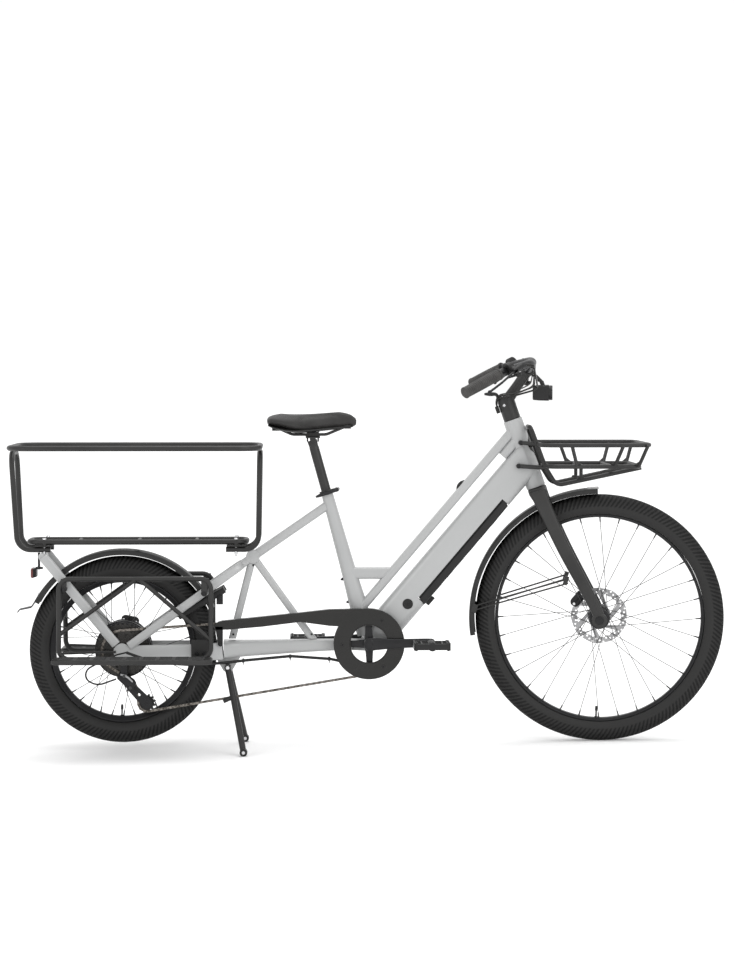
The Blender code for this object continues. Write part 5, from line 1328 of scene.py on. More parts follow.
piece("battery_lip", [
    bar([
        (tube_point(BATTERY_START + 4, battery_edge - 2.4), 1.3, 32.4),
        (tube_point(BATTERY_START + BATTERY_LENGTH - 5, battery_edge - 2.4), 1.3, 32.4),
    ], sides=24, square=8.0),
    *[
        block(tube_point(BATTERY_START + 60 + 48 * i, DOWN_TUBE_LOW + 1.4), 26, 44, 2.2, TUBE_ALONG)
        for i in range(6)
    ],
], gloss_plastic, "battery_pack", bevel=0.5)
piece("battery_handle", [
    block(tube_point(BATTERY_START + 16, DOWN_TUBE_LOW - 4), 26, 22, 15, TUBE_ALONG),
    block(tube_point(BATTERY_START + 27, DOWN_TUBE_LOW - 8), 7, 24, 7, TUBE_ALONG),
], black_plastic, "battery_pack", bevel=1.4)
charge_point = at(-540.4, 389.5)
piece("charging_socket", [
    ring([(-35.2, 9), (-35.2, 13.4), (-34.4, 14.6), (-31, 14.6), (-31, 9)], charge_point, sides=48),
    drum([(-34.4, 9.4), (-33.8, 9.8), (-31, 9.8)], charge_point, sides=40),
    block(charge_point - 34.8 * LEFT, 11, 1.6, 2.4, TUBE_ALONG),
    block(charge_point - 34.8 * LEFT, 2.4, 1.6, 11, TUBE_ALONG),
], black_plastic, "frame", bevel=0.4)

# ---- small fittings of the frame
# Threaded bosses with black screws behind the seat tube and on the struts, a moulded port where the cables
# go in, clips under the beam, and a kite-shaped badge plate without a mark on the head tube.
boss = [
    drum([(-3, 5.2), (1.6, 5.2), (2.2, 4.6)], Vector(), UP, 20),
    drum([(2.0, 3.6), (5.6, 3.6), (6.4, 2.8)], Vector(), UP, 16),
]
copies("bottle_bosses", boss, [
    (seat_point(along, -ahead), facing_way(-SEAT_AHEAD, LEFT), (0.8, 0.8, 0.9))
    for along, ahead in ((190, 22.5), (124, 24.5))
], black_alloy, "frame", sharp=30)
copies("strut_screws", bolt_head, [
    (point, facing_way(-LEFT, FORWARD), (0.7, 0.7, 0.6))
    for point in (at(-971.6, 497, -10.2), at(-1028, 303, -10.2), at(-809, 303, -10.2))
], black_alloy, "frame")
piece("cable_port", [bar(smooth_stations([
    (tube_point(486, 89), 1.5, 5), (tube_point(496, 92), 4.2, 7), (tube_point(508, 92.5), 4.4, 7),
    (tube_point(520, 89.5), 1.4, 5),
]), sides=24)], black_plastic, "frame")
piece("badge_plate", [skin([
    [
        steered(HEAD_LOW + along, radius * math.cos(a), radius * math.sin(a))
        for radius, sweep in ((28.6, 1), (26.0, -1))
        for a in (math.radians(sweep * spread * step / 6) for step in range(-6, 7))
    ]
    for along, spread in ((84, 6), (104, 46), (118, 56), (132, 40), (146, 6))
])], gloss_plastic, "frame", bevel=0.4)
under_cables = [
    at(-712, 226, -32), at(-757, 236, -32), at(-869, 244, -31), at(-990, 233, -32), at(-1060, 226, -40),
    at(-1150, 224, -60), at(-1235, 232, -84), at(-1290, 250, -93), at(-1322, 262, -93.5),
]
piece("under_cables", [
    tube(bend([point + rise * UP + aside * LEFT for point in under_cables], 60), 2.1, sides=12)
    for rise, aside in ((0.0, -2.0), (1.6, 2.2), (-2.2, 1.2))
], black_plastic, "frame", ["frame_cables"])
copies("cable_clips", [ring([(-3, 4.6), (3, 4.6), (3, 6.0), (-3, 6.0)], Vector(), UP, 20),
                       drum([(0, 1.4), (11, 1.4)], Vector((0, 4, 0)), -Vector((1, 0, 0)), 8)], [
    (point, facing_way(FORWARD, UP), (1.0, 1.0, 1.0)) for point in (
        at(-760, 236.4, -32), at(-869, 243, -31), at(-1000, 232, -32),
    )
], black_plastic, "frame")

# ---- seat post, saddle and clamp
# An alloy post in a quick-release collar carries a broad city saddle: a moulded shell and a foam-filled
# synthetic leather cover on two steel rails, which the post's head grips between a cradle and a bolted cap.
POST_RADIUS, POST_SHOWN, POST_HIDDEN = 13.6, 150.0, 150.0
POST_TOP = SEAT_TUBE_LENGTH + POST_SHOWN
SADDLE_POINT = seat_point(POST_TOP)
RAIL_Z = SADDLE_POINT.z + 20
SADDLE_LENGTH, SADDLE_Z = 260.0, 872.0
SADDLE_FRONT = SADDLE_POINT.x + 0.49 * SADDLE_LENGTH
SADDLE_BACK = SADDLE_FRONT - SADDLE_LENGTH
CLAMP_MIDDLE = SEAT_TUBE_LENGTH + 6.5
CLAMP_RADIUS = POST_RADIUS + 6.5
SKEWER_POINT = seat_point(CLAMP_MIDDLE, CLAMP_RADIUS + 9)
CAM_POINT = SKEWER_POINT - 18 * LEFT

satin_coat = Finish("satin black powder coat", (0.018, 0.0175, 0.017), 0.42, shine=0.36)
worn = satin_coat.place.noise(9.0, 4.0).clamped(0.35, 0.7)
satin_coat.set("Base Color", worn.blend((0.014, 0.0137, 0.0133), (0.024, 0.0236, 0.023)))
satin_coat.set("Roughness", satin_coat.place.noise(260.0, 3.0) * 0.2 + 0.32)
satin_coat.bump(satin_coat.place.noise(1300.0, 3.0), 0.00006)
bright_steel = Finish("polished steel", (0.62, 0.62, 0.63), 0.22, metallic=1.0)
bright_steel.set("Roughness", bright_steel.place.noise(320.0, 3.0) * 0.2 + 0.14)
bright_steel.set("Base Color", bright_steel.place.noise(60.0).blend((0.52, 0.52, 0.53), (0.70, 0.70, 0.71)))

piece("seat_collar", [
    ring([
        (-6, 14.3), (6, 14.3), (6, CLAMP_RADIUS - 1), (5, CLAMP_RADIUS), (-5, CLAMP_RADIUS),
        (-6, CLAMP_RADIUS - 1),
    ],
         seat_point(CLAMP_MIDDLE), SEAT_UP, sides=64),
    block(seat_point(CLAMP_MIDDLE, CLAMP_RADIUS + 6), 16, 20, 11, SEAT_AHEAD),
    drum([(-13, 4.5), (13, 4.5), (13.5, 4)], SKEWER_POINT, sides=24),
], satin_coat, "frame", ["seat_clamp"], bevel=0.8)
piece("quick_release_lever", [
    drum([(-5, 4), (-4.5, 4.5), (4.5, 4.5), (5, 4)], CAM_POINT, SEAT_UP, 24),
    bar(smooth_stations([
        (CAM_POINT + 1 * SEAT_AHEAD - 3.5 * LEFT, 4, 1.6), (CAM_POINT - 22 * SEAT_AHEAD - 9 * LEFT, 5, 1.6),
        (CAM_POINT - 50 * SEAT_AHEAD - 7 * LEFT - 2 * SEAT_UP, 4.6, 1.6),
        (CAM_POINT - 62 * SEAT_AHEAD - 5 * LEFT - 3 * SEAT_UP, 2.4, 1.2),
    ]), sides=24, square=3.0),
], black_alloy, "clamp_lever", ["seat_clamp_lever"])
copies("collar_nut", [
    drum(
        [(0, 5), (4, 5.4), (7, 3.4), (7.6, 1)], Vector(), UP, 24,
    ), ring([(-3, 3), (0, 3), (0, 6.4), (-3, 6.4)], Vector(), UP, 24),
], [(SKEWER_POINT + 14 * LEFT, facing_way(LEFT, FORWARD), (1.0, 1.0, 1.0)),
    (seat_point(CLAMP_MIDDLE + 1, CLAMP_RADIUS + 14), facing_way(SEAT_AHEAD, LEFT), (0.9, 0.9, 0.6))],
       bright_steel, "frame")
piece("seat_post_tube", [
    drum([
        (
            SEAT_TUBE_LENGTH - POST_HIDDEN, POST_RADIUS - 0.8,
        ), (SEAT_TUBE_LENGTH - POST_HIDDEN + 1, POST_RADIUS),
        (POST_TOP - 14, POST_RADIUS), (POST_TOP - 4, POST_RADIUS - 2),
    ], BOTTOM_BRACKET, SEAT_UP, 40),
], satin_coat, "seat", ["seat_post"])
piece("seat_post_head", [
    tube([at(SADDLE_POINT.x, RAIL_Z - 9, -24), at(SADDLE_POINT.x, RAIL_Z - 9, 24)], 8.5, sides=32),
    bar([(SADDLE_POINT - 18 * SEAT_UP, 12, 12), (SADDLE_POINT + 8 * SEAT_UP, 14, 13)], sides=24, square=4),
    bar([
        (at(SADDLE_POINT.x - 20, RAIL_Z - 3), 3, 26), (at(SADDLE_POINT.x + 20, RAIL_Z - 3), 3, 26),
    ], sides=24,
        square=5),
    bar([
        (at(SADDLE_POINT.x - 17, RAIL_Z + 8.6), 2.6, 27), (at(SADDLE_POINT.x + 17, RAIL_Z + 8.6), 2.6, 27),
    ],
        sides=24, square=5),
], satin_coat, "seat", bevel=0.8)
copies("seat_post_bolts", [
    drum([(-22, 2.2), (6, 2.2)], Vector(), UP, 12), drum([(6, 4.6), (10, 4.6), (11, 3.8)], Vector(), UP, 16),
], [(at(SADDLE_POINT.x + end * 15, RAIL_Z + 6), facing_way(UP, FORWARD), (1.0, 1.0, 1.0)) for end in (-1, 1)],
       black_alloy, "seat")
piece("saddle_rails", [
    tube([
        at(SADDLE_BACK + 28, SADDLE_Z + 12, side * 38), at(SADDLE_BACK + 75, RAIL_Z + 4, side * 22),
        at(SADDLE_FRONT - 90, RAIL_Z + 4, side * 22), at(SADDLE_FRONT - 28, SADDLE_Z + 16, side * 10),
    ], 3.5, sides=20, corner=30)
    for side in (-1, 1)
], satin_coat, "seat")
piece("saddle_shell", [
    bar(smooth_stations([
        (at(SADDLE_BACK + share * SADDLE_LENGTH, SADDLE_Z + rise), half, width, UP)
        for share, half, width, rise in (
            (0.03, 2.5, 58, 17), (0.12, 3.5, 75, 9), (0.3, 4, 72, 1.5), (0.55, 4, 41, 4), (0.8, 4, 20, 10),
            (0.94, 3, 12, 14),
        )
    ], 5), sides=40, square=3.0),
    *[block(at(SADDLE_BACK + 30, SADDLE_Z + 8, side * 38), 22, 14, 12) for side in (-1, 1)],
    block(at(SADDLE_FRONT - 30, SADDLE_Z + 12, 0), 18, 30, 10),
], black_plastic, "seat", bevel=1.0)

leather = Finish("saddle leather", (0.022, 0.021, 0.020), 0.5, shine=0.32)
grain = leather.place.node(
    "ShaderNodeTexVoronoi", {"feature": "DISTANCE_TO_EDGE"}, {"Vector": leather.place, "Scale": 520.0},
)
creased = leather.place.noise(24.0, 4.0)
leather.set("Base Color", creased.clamped(0.35, 0.7).blend((0.018, 0.0172, 0.0165), (0.032, 0.031, 0.030)))
leather.set("Roughness", creased * 0.2 + 0.38)
leather.bump(grain.clamped(0.0, 0.12) * 0.5 + creased, 0.00035)


def padded_cover(name, stations, swell):
    """A cover filled with foam: a closed shape remeshed and blown up as cloth, its movement capped."""
    cover = bpy.data.objects.new(name, join([bar(smooth_stations(stations, 4), sides=40, square=2.5)]))
    bpy.context.scene.collection.objects.link(cover)
    remesh = cover.modifiers.new("voxels", "REMESH")
    remesh.mode = "VOXEL"
    remesh.voxel_size = 0.0045
    mesh = bpy.data.meshes.new_from_object(cover.evaluated_get(bpy.context.evaluated_depsgraph_get()))
    cover.modifiers.clear()
    cover.data = mesh
    rest = [vertex.co.copy() for vertex in mesh.vertices]
    cloth = cover.modifiers.new("filling", "CLOTH")
    cloth.settings.use_pressure = True
    cloth.settings.uniform_pressure_force = 4.0
    cloth.settings.effector_weights.gravity = 0.0
    cloth.settings.tension_stiffness = 25.0
    for step in range(1, 21):
        bpy.context.scene.frame_set(step)
    blown = bpy.data.meshes.new_from_object(cover.evaluated_get(bpy.context.evaluated_depsgraph_get()))
    cover.modifiers.clear()
    for vertex, start in zip(blown.vertices, rest):
        moved = vertex.co - start
        if moved.length > swell:
            vertex.co = start + moved * (swell / moved.length)
    cover.data = blown
    bpy.context.scene.frame_set(1)
    cover.data.shade_smooth()
    finer = cover.modifiers.new("finer", "SUBSURF")
    finer.levels = 1
    finer.render_levels = 1
    return cover


saddle_top = [
    (at(SADDLE_BACK + share * SADDLE_LENGTH, SADDLE_Z + rise), half, width, UP)
    for share, half, width, rise in (
        (0.012, 7, 60, 27), (0.06, 13.5, 72, 30), (0.15, 16.5, 78, 27), (0.3, 20.5, 74, 21),
        (0.45, 20, 54, 22), (0.6, 19, 36, 25), (0.75, 18.5, 25, 28.5), (0.88, 17.5, 19, 31),
        (0.95, 13, 14, 27), (0.985, 7, 9, 23),
    )
]
cover = padded_cover("saddle_cover", saddle_top, 0.006)
cover.data.materials.clear()
cover.data.materials.append(leather.material)
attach(cover, "seat")
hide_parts("saddle")

# ---- rear rack, safety rail and side frames
# Steel tubes bent and welded, powder-coated satin black. The rail stands on two hoops bolted to the rack's
# deck, and a frame with a footboard for the passenger's feet hangs on each side of the wheel.
RAIL_LENGTH, RAIL_WIDTH, RAIL_BACK, RAIL_HEIGHT, RAIL_TUBE = 701.0, 375.0, -1646.0, 829.0, 7.5
RAIL_FRONT = RAIL_BACK + RAIL_LENGTH
DECK_HEIGHT, DECK_WIDTH, FOOT_HEIGHT = 566.0, 132.0, 545.0
SIDE_TUBE, SIDE_TOP, BOARD_HEIGHT, BOARD_WIDTH, BOARD_INNER = 7.0, 466.0, 246.0, 95.0, 118.0


def ring_path(back, front, half_width, z):
    return [
        at(back, z, -half_width), at(front, z, -half_width), at(front, z, half_width),
        at(back, z, half_width),
    ]


rail_half = RAIL_WIDTH / 2 - RAIL_TUBE
piece("safety_rail_tube", [
    tube(ring_path(
        RAIL_BACK + RAIL_TUBE, RAIL_FRONT - RAIL_TUBE, rail_half, RAIL_HEIGHT,
    ), RAIL_TUBE, corner=60,
         steps=12, closed=True),
], satin_coat, "frame", ["safety_rail"])
for name, foot_x, low_x, top_x in (
    ("rail_hoop_rear", -1533.0, -1624.0, RAIL_BACK + RAIL_TUBE),
    ("rail_hoop_front", -1047.0, -957.0, RAIL_FRONT - RAIL_TUBE),
):
    legs = [
        at(foot_x, FOOT_HEIGHT, -55), at(low_x, FOOT_HEIGHT, -57),
        at(top_x, RAIL_HEIGHT - 2 * RAIL_TUBE - 0.3, -78),
    ]
    piece(f"{name}_tube", [tube(legs + mirrored(reversed(legs)), RAIL_TUBE, corner=38, steps=10)], satin_coat,
          "frame", [name], bevel=1.0)

deck_half = DECK_WIDTH / 2 - RAIL_TUBE
piece("rack_deck_tubes", [
    tube(ring_path(
        -1600 + RAIL_TUBE, -983 - RAIL_TUBE, deck_half, DECK_HEIGHT,
    ), RAIL_TUBE, corner=30, steps=8,
         closed=True),
    *[
        tube([at(x, DECK_HEIGHT, -deck_half), at(x, DECK_HEIGHT, deck_half)], 6.0)
        for x in (-1455, -1290, -1130)
    ],
    *[block(at(-1564, DECK_HEIGHT - 9.0, y), 18, 14, 7) for y in (-deck_half, deck_half)],
], satin_coat, "frame", ["rack_deck"], bevel=0.6)
deck_corners = [at(x, DECK_HEIGHT, y) for x in (-1550, -1019) for y in (-deck_half, deck_half)]
piece("deck_clamps", [
    shape for corner in deck_corners for shape in (
        bar([(corner + at(-26, -10.5), 2.0, 10), (corner + at(26, -10.5), 2.0, 10)], sides=24, square=5),
        drum([(FOOT_HEIGHT + RAIL_TUBE - 1 - DECK_HEIGHT, 7.5), (-2, 7.5)], corner, UP, 24),
    )
], satin_coat, "frame", bevel=0.6)
copies("deck_bolts", [
    drum([(-40, 2.6), (8, 2.6)], Vector(), UP, 12), drum([(-34, 4.8), (-29, 4.8)], Vector(), UP, 6),
    drum([(7, 5.4), (9.6, 5.4), (11.4, 4.2)], Vector(), UP, 20),
], [(corner, facing_way(UP, FORWARD), (1.0, 1.0, 1.0)) for corner in deck_corners], bright_steel, "frame")

board_grip = Finish("footboard with a sanded grip", (0.03, 0.03, 0.03), 0.6, shine=0.35)
board_grip.set(
    "Base Color",
    board_grip.place.noise(700.0, 3.0).clamped(0.4, 0.65).blend(
        (0.022, 0.022, 0.022), (0.060, 0.060, 0.060),
    ),
)
board_grip.set("Roughness", board_grip.place.noise(500.0) * 0.25 + 0.5)
board_grip.bump(board_grip.place.noise(900.0, 4.0), 0.0004)
for name, side in (("side_frame_right", -1), ("side_frame_left", 1)):
    board_middle = side * (BOARD_INNER + BOARD_WIDTH / 2)
    back, front = -1507.0, -1088.0
    top_y, low_y = side * 95.0, side * (BOARD_INNER + 3)
    corners = [
        at(back, BOARD_HEIGHT, low_y), at(back, SIDE_TOP, top_y), at(front, SIDE_TOP, top_y),
        at(front, BOARD_HEIGHT, low_y),
    ]
    slope = (low_y - top_y) / (SIDE_TOP - BOARD_HEIGHT)
    piece(f"{name}_tubes", [
        tube(corners, SIDE_TUBE, corner=30, closed=True),
        *[tube([
            at(-1290 + step, SIDE_TOP - 3, top_y), at(foot_x, foot_z, top_y + slope * (SIDE_TOP - foot_z)),
        ], SIDE_TUBE - 1) for step, foot_x, foot_z in ((-8, back, 312.0), (8, front, 297.0))],
        tube(
            bend([at(back, 262, side * 119), at(-1400, 262, side * 84), at(-1352, 262, side * 78.6)], 40),
            3.5,
        ),
    ], satin_coat, "frame", [name])
    piece(f"{name}_brackets", [
        drum([(min(side * 78.6, top_y), 9), (max(side * 78.6, top_y), 9)], at(-1494, 438), sides=32),
        bar([
            (at(-1494, 437, top_y), 8, 5, FORWARD), (at(-1494, 467, top_y), 8, 4, FORWARD),
        ], sides=24, square=4),
        drum([(min(side * 66.5, top_y), 9), (max(side * 66.5, top_y), 9)], at(-1107, 426), sides=32),
        bar([
            (at(-1106, 424, top_y), 9, 5, FORWARD), (at(-1104, 467, top_y), 11, 5, FORWARD),
        ], sides=24, square=4),
        block(at(-1119, 246, side * 91), 46, 60, 7),
        block(at(-1119, 268, side * 65.5), 50, 4.5, 52),
    ], satin_coat, "frame", bevel=1.0)
    copies(
        f"{name}_bolts", bolt_head,
        [
            (point, facing_way(side * LEFT, FORWARD), (1.3, 1.3, 1.2))
            for point in (
                at(-1494, 438, side * 99), at(-1107, 426, side * 99), at(-1128, 256, side * 68),
                at(-1108, 256, side * 68),
            )
        ],
        black_alloy, "frame",
    )
    piece(f"{name}_board", [bar([
        (at(-1521, BOARD_HEIGHT, board_middle), 4, BOARD_WIDTH / 2 - 8),
        (at(-1517, BOARD_HEIGHT, board_middle), 6, BOARD_WIDTH / 2 - 3),
        (at(-1511, BOARD_HEIGHT, board_middle), 7, BOARD_WIDTH / 2),
        (at(-1093, BOARD_HEIGHT, board_middle), 7, BOARD_WIDTH / 2),
        (at(-1087, BOARD_HEIGHT, board_middle), 6, BOARD_WIDTH / 2 - 3),
        (at(-1083, BOARD_HEIGHT, board_middle), 4, BOARD_WIDTH / 2 - 8),
    ], sides=48, square=8.0)], satin_coat, "frame")
    piece(f"{name}_grip", [bar([
        (at(-1500, BOARD_HEIGHT + 6.8, board_middle), 0.7, BOARD_WIDTH / 2 - 9),
        (at(-1104, BOARD_HEIGHT + 6.8, board_middle), 0.7, BOARD_WIDTH / 2 - 9),
    ], sides=24, square=8.0)], board_grip, "frame")
    copies(f"{name}_ribs", [bar([
        (Vector((-17, 0, 0)), 0.8, 1.6), (Vector((17, 0, 0)), 0.8, 1.6),
    ], sides=8)], [
        (
            at(-1480 + 45 * i, BOARD_HEIGHT + 7.6, board_middle + 11 * j), Matrix().to_quaternion(),
            (1.0, 1.0, 1.0),
        )
        for i in range(9) for j in (-3, -2, -1, 0, 1, 2, 3)
    ], board_grip, "frame")

# ---- front carrier
# An open basket of bent tubes, bolted by four arms to bosses on the head tube and the down tube, so it
# doesn't turn with the bars. Small gussets brace its uprights.
CARRIER_TOP, CARRIER_FLOOR, CARRIER_TUBE = 837.0, 777.0, 6.2
CARRIER_TOP_WIDTH, CARRIER_FLOOR_WIDTH = 366.0, 288.0
top_half, floor_half = CARRIER_TOP_WIDTH / 2 - CARRIER_TUBE, CARRIER_FLOOR_WIDTH / 2 - CARRIER_TUBE
loop_side = [at(-200, 884, -62), at(-158, 771, -64), at(-128, 722, -66), at(107, 772, -75)]
uprights = [
    (at(top_x, CARRIER_TOP, side * top_half), at(low_x, CARRIER_FLOOR, side * floor_half))
    for top_x, low_x in ((-96.6, -78.0), (45.8, 25.5), (113.0, 92.0)) for side in (-1, 1)
]
piece("front_carrier_tubes", [
    tube(ring_path(-178, 120, top_half, CARRIER_TOP), CARRIER_TUBE, corner=36, closed=True),
    tube(ring_path(-156, 97, floor_half, CARRIER_FLOOR), CARRIER_TUBE, corner=30, closed=True),
    tube(list(reversed(loop_side)) + mirrored(loop_side), CARRIER_TUBE, corner=26),
    *[tube([top, foot], 5.0) for top, foot in uprights],
    *[tube([at(x, CARRIER_FLOOR, -floor_half), at(x, CARRIER_FLOOR, floor_half)], 5.0) for x in (-60, 20)],
    *[tube([at(-60, CARRIER_FLOOR, side * 70), at(-60, 737, side * 69)], 5.0) for side in (-1, 1)],
    *[tube([at(x, z, side * 41), at(far_x, z + drop, side * far_y)], 6.0)
      for x, z, far_x, drop, far_y in (
          (-225, 840, -181, -3, 62), (-231, 775, -158, -4, 64),
      ) for side in (-1, 1)],
], satin_coat, "frame", ["front_rack"])
piece("front_carrier_gussets", [
    skin([
        [corner + y * LEFT for corner in (
            foot + (top - foot) * 0.10 + at(-1, 0), foot + (top - foot) * 0.34, foot + at(
                15 if top.x < foot.x else -15, 3,
            ),
        )] for y in (-1.4, 1.4)
    ]) for top, foot in uprights
], satin_coat, "frame", bevel=0.4)
piece("front_carrier_bosses", [
    drum([(min(side * low, side * 46), 7), (max(side * low, side * 46), 7)], at(x, z), sides=32)
    for x, z, low in ((-225, 840, HEAD_RADIUS - 2), (-231, 775, DOWN_TUBE_WIDTH / 2 - 2)) for side in (-1, 1)
], satin_coat, "frame", bevel=1.0)
copies("front_carrier_bolts", bolt_head, [
    *[(at(x, z, side * 46), facing_way(side * LEFT, FORWARD), (1.1, 1.1, 0.9))
      for x, z in ((-225, 840), (-231, 775)) for side in (-1, 1)],
    *[(at(-67, 741, side * 71), facing_way(side * LEFT, FORWARD), (1.0, 1.0, 1.0)) for side in (-1, 1)],
], black_alloy, "frame")

# ---- mudguards
# Channels moulded in matt black plastic. The front one hangs from the fork's crown and is braced by double
# wire stays, the rear one ends in a pointed rubber flap held by two screws.
FRONT_GUARD_RADIUS, REAR_GUARD_RADIUS = 365.0, 281.0
guard_plastic = Finish("matt mudguard plastic", (0.014, 0.014, 0.0137), 0.46, shine=0.34)
scuffs = guard_plastic.place.noise(30.0, 5.0)
guard_plastic.set(
    "Base Color", scuffs.clamped(0.35, 0.7).blend((0.011, 0.011, 0.0107), (0.020, 0.0197, 0.0193)),
)
guard_plastic.set("Roughness", scuffs * 0.25 + 0.33)
guard_plastic.bump(guard_plastic.place.noise(1500.0), 0.00005)


def mudguard(centre, radius, start, end, half_width, lip, sheet=3.0, flare=0.0, steps=90):
    """Channel with rounded shoulders swept round an axle, a little wider towards its first end if flared."""
    corner = 5.0
    sections = []
    for i in range(steps + 1):
        share = i / steps
        wide = half_width + flare * max(0.0, 1.0 - share * 12) ** 2
        outer = [(wide, -lip), (wide, -corner)]
        outer += [(wide - corner + corner * math.cos(a), -corner + corner * math.sin(a))
                  for a in (math.radians(step) for step in (22.5, 45, 67.5, 90))]
        outer += [(wide * 0.45, 0.9), (0.0, 1.2)]
        outer += [(-y, rise) for y, rise in reversed(outer[:-1])]
        inner = [(y * (wide - sheet) / wide, min(rise, 1.0) - sheet) for y, rise in reversed(outer)]
        inner[0] = (inner[0][0], -lip)
        inner[-1] = (inner[-1][0], -lip)
        level = centre + radius * turn(start + (end - start) * share)
        out = turn(start + (end - start) * share)
        sections.append([level + y * LEFT + rise * out for y, rise in outer + inner])
    return skin(sections)


def fork_leg(side, extra=0.0):
    y = side * 62.0
    half = 11.0 + extra
    return bar(smooth_stations([
        (steered(CROWN_HEIGHT - 6, 2, y), 24 + extra, half, STEER_AHEAD),
        (steered(CROWN_HEIGHT - 60, 6, y), 20.5 + extra, half, STEER_AHEAD),
        (steered(CROWN_HEIGHT - 190, 19, y), 18.5 + extra, half),
        (
            FRONT_AXLE + y * LEFT + 40 * STEER_UP, 16 + extra, half,
        ), (FRONT_AXLE + y * LEFT, 15.5 + extra, half),
    ], 5), sides=40, square=3.0)


def fork_crown(extra=0.0):
    return bar([
        (steered(CROWN_HEIGHT - 26), 22 + extra, 62 + 4, STEER_AHEAD),
        (steered(CROWN_HEIGHT - 12), 25 + extra, 62 + 11, STEER_AHEAD),
        (steered(CROWN_HEIGHT - 5), 25 + extra, 62, STEER_AHEAD),
        (steered(CROWN_HEIGHT + extra), 25 + extra, 38, STEER_AHEAD),
    ], sides=48, square=4.0)


piece("front_mudguard_sheet", [mudguard(FRONT_AXLE, FRONT_GUARD_RADIUS, 91, 188, 33, 14, flare=2.0)],
      guard_plastic, "steering", ["front_mudguard"],
      cuts=[fork_crown(0.4), fork_leg(-1, 0.4), fork_leg(1, 0.4)])
tip_plastic = Finish("grey translucent tip", (0.16, 0.16, 0.155), 0.35, coat=0.2)
tip_plastic.set("Roughness", tip_plastic.place.noise(300.0) * 0.2 + 0.25)
piece("front_mudguard_tip", [bar([
    (
        FRONT_AXLE + (FRONT_GUARD_RADIUS + 0.8) * turn(angle), 1.0, width,
    ) for angle, width in ((95.6, 26), (92.0, 32), (90.6, 33.5))
], sides=24, square=6.0)], tip_plastic, "steering")
piece("front_mudguard_stays", [
    *[tube([
        at(-88, 463 - drop, side * 62), at(-300, 398 - drop, side * 40), at(-353, 380 - drop, side * 31),
    ], 2.3,
           sides=16, corner=30) for side in (-1, 1) for drop in (0, 12)],
    *[block(at(-94, 458, side * 62), 12, 12, 24, turn(-18)) for side in (-1, 1)],
    *[block(at(-350, 375, side * 33.5), 16, 4, 24, turn(-18)) for side in (-1, 1)],
    tube([at(-140, 674), at(-163, 708)], 8.0),
], satin_coat, "steering", bevel=0.6)
piece(
    "rear_mudguard_sheet", [mudguard(REAR_AXLE, REAR_GUARD_RADIUS, 25, 151, 34, 15)], guard_plastic,
    "frame", ["rear_mudguard"],
)
flap = [
    round_rear_axle(REAR_GUARD_RADIUS - 2.2, 145), round_rear_axle(REAR_GUARD_RADIUS - 1.4, 151),
    round_rear_axle(REAR_GUARD_RADIUS + 1, 155), at(-1625, 374), at(-1631, 366),
]
piece("rear_mudguard_flap", [bar([
    (point, 1.5, width) for point, width in zip(flap, (31, 32.5, 31, 19, 8))
], sides=24, square=8.0)], black_plastic, "frame")
copies("mudguard_screws", bolt_head, [
    (round_rear_axle(REAR_GUARD_RADIUS + 0.8, angle, y), facing_way(turn(angle), LEFT), (0.9, 0.9, 0.6))
    for angle in (146.5,) for y in (-12, 12)
], bright_steel, "frame")

# ---- rear light and ring lock
# The light is a black moulded body with a red prismatic lens behind, hung from the deck's rear bar. The
# lock is a horseshoe of two black arms over the tyre, with a keyed barrel on its near arm.
red_lens = Finish("red prismatic lens", (0.12, 0.012, 0.010), 0.14, coat=0.3)
cells = red_lens.place.node("ShaderNodeTexVoronoi", {}, {"Vector": red_lens.place, "Scale": 330.0})
red_lens.set("Base Color", cells.clamped(0.1, 0.8).blend((0.16, 0.018, 0.015), (0.06, 0.008, 0.007)))
red_lens.set("Roughness", red_lens.place.noise(90.0) * 0.2 + 0.06)
red_lens.bump(cells, 0.0004)
piece("rear_light_body", [
    bar([(at(-1586, 477), 13.5, 27.5), (at(-1576.5, 477), 11, 24)], sides=40, square=6.0),
    block(at(-1570, 490), 20, 12, 6),
    bar([(at(-1570.5, 486), 3, 6, FORWARD), (at(-1570.5, 533), 3, 6, FORWARD)], sides=24, square=6.0),
], black_plastic, "frame", ["rear_light"], bevel=0.8)
piece("rear_light_lens", [
    bar([(at(-1591.6, 477), 12, 26), (at(-1589.5, 477), 14.2, 27.8), (at(-1585, 477), 14.4, 28)], sides=40,
        square=6.0),
], red_lens, "frame", bevel=0.6)
LOCK_WAY = turn(30.8)
lock_low, lock_high = round_rear_axle(184, 30.8), round_rear_axle(331, 30.8)
piece("ring_lock_body", [
    *[bar(smooth_stations([
        (lock_low + side * 44.5 * LEFT, 5, 5), (lock_low + 8 * LOCK_WAY + side * 44.5 * LEFT, 8.6, 6.2),
        (
            lock_high - 40 * LOCK_WAY + side * 44.5 * LEFT, 9, 6.5,
        ), (lock_high + side * 44.5 * LEFT, 8.4, 6.0),
    ], 4), sides=32, square=3.4) for side in (-1, 1)],
    bar([
        (round_rear_axle(293, 30.8), 8.6, 50), (round_rear_axle(311, 30.8), 9, 51),
        (round_rear_axle(329, 30.8), 8, 44),
    ],
        sides=40, square=5.0),
    block(at(-1065, 407, -44), 18, 13, 32),
], black_plastic, "frame", ["ring_lock"], bevel=1.2)
piece("ring_lock_barrel", [
    drum([(-56.5, 5.6), (-56, 6.4), (-48, 6.4)], at(-1065, 410), sides=32),
    block(at(-1065, 410, -56.6), 1.2, 1.4, 6.0),
], black_alloy, "frame", bevel=0.2)

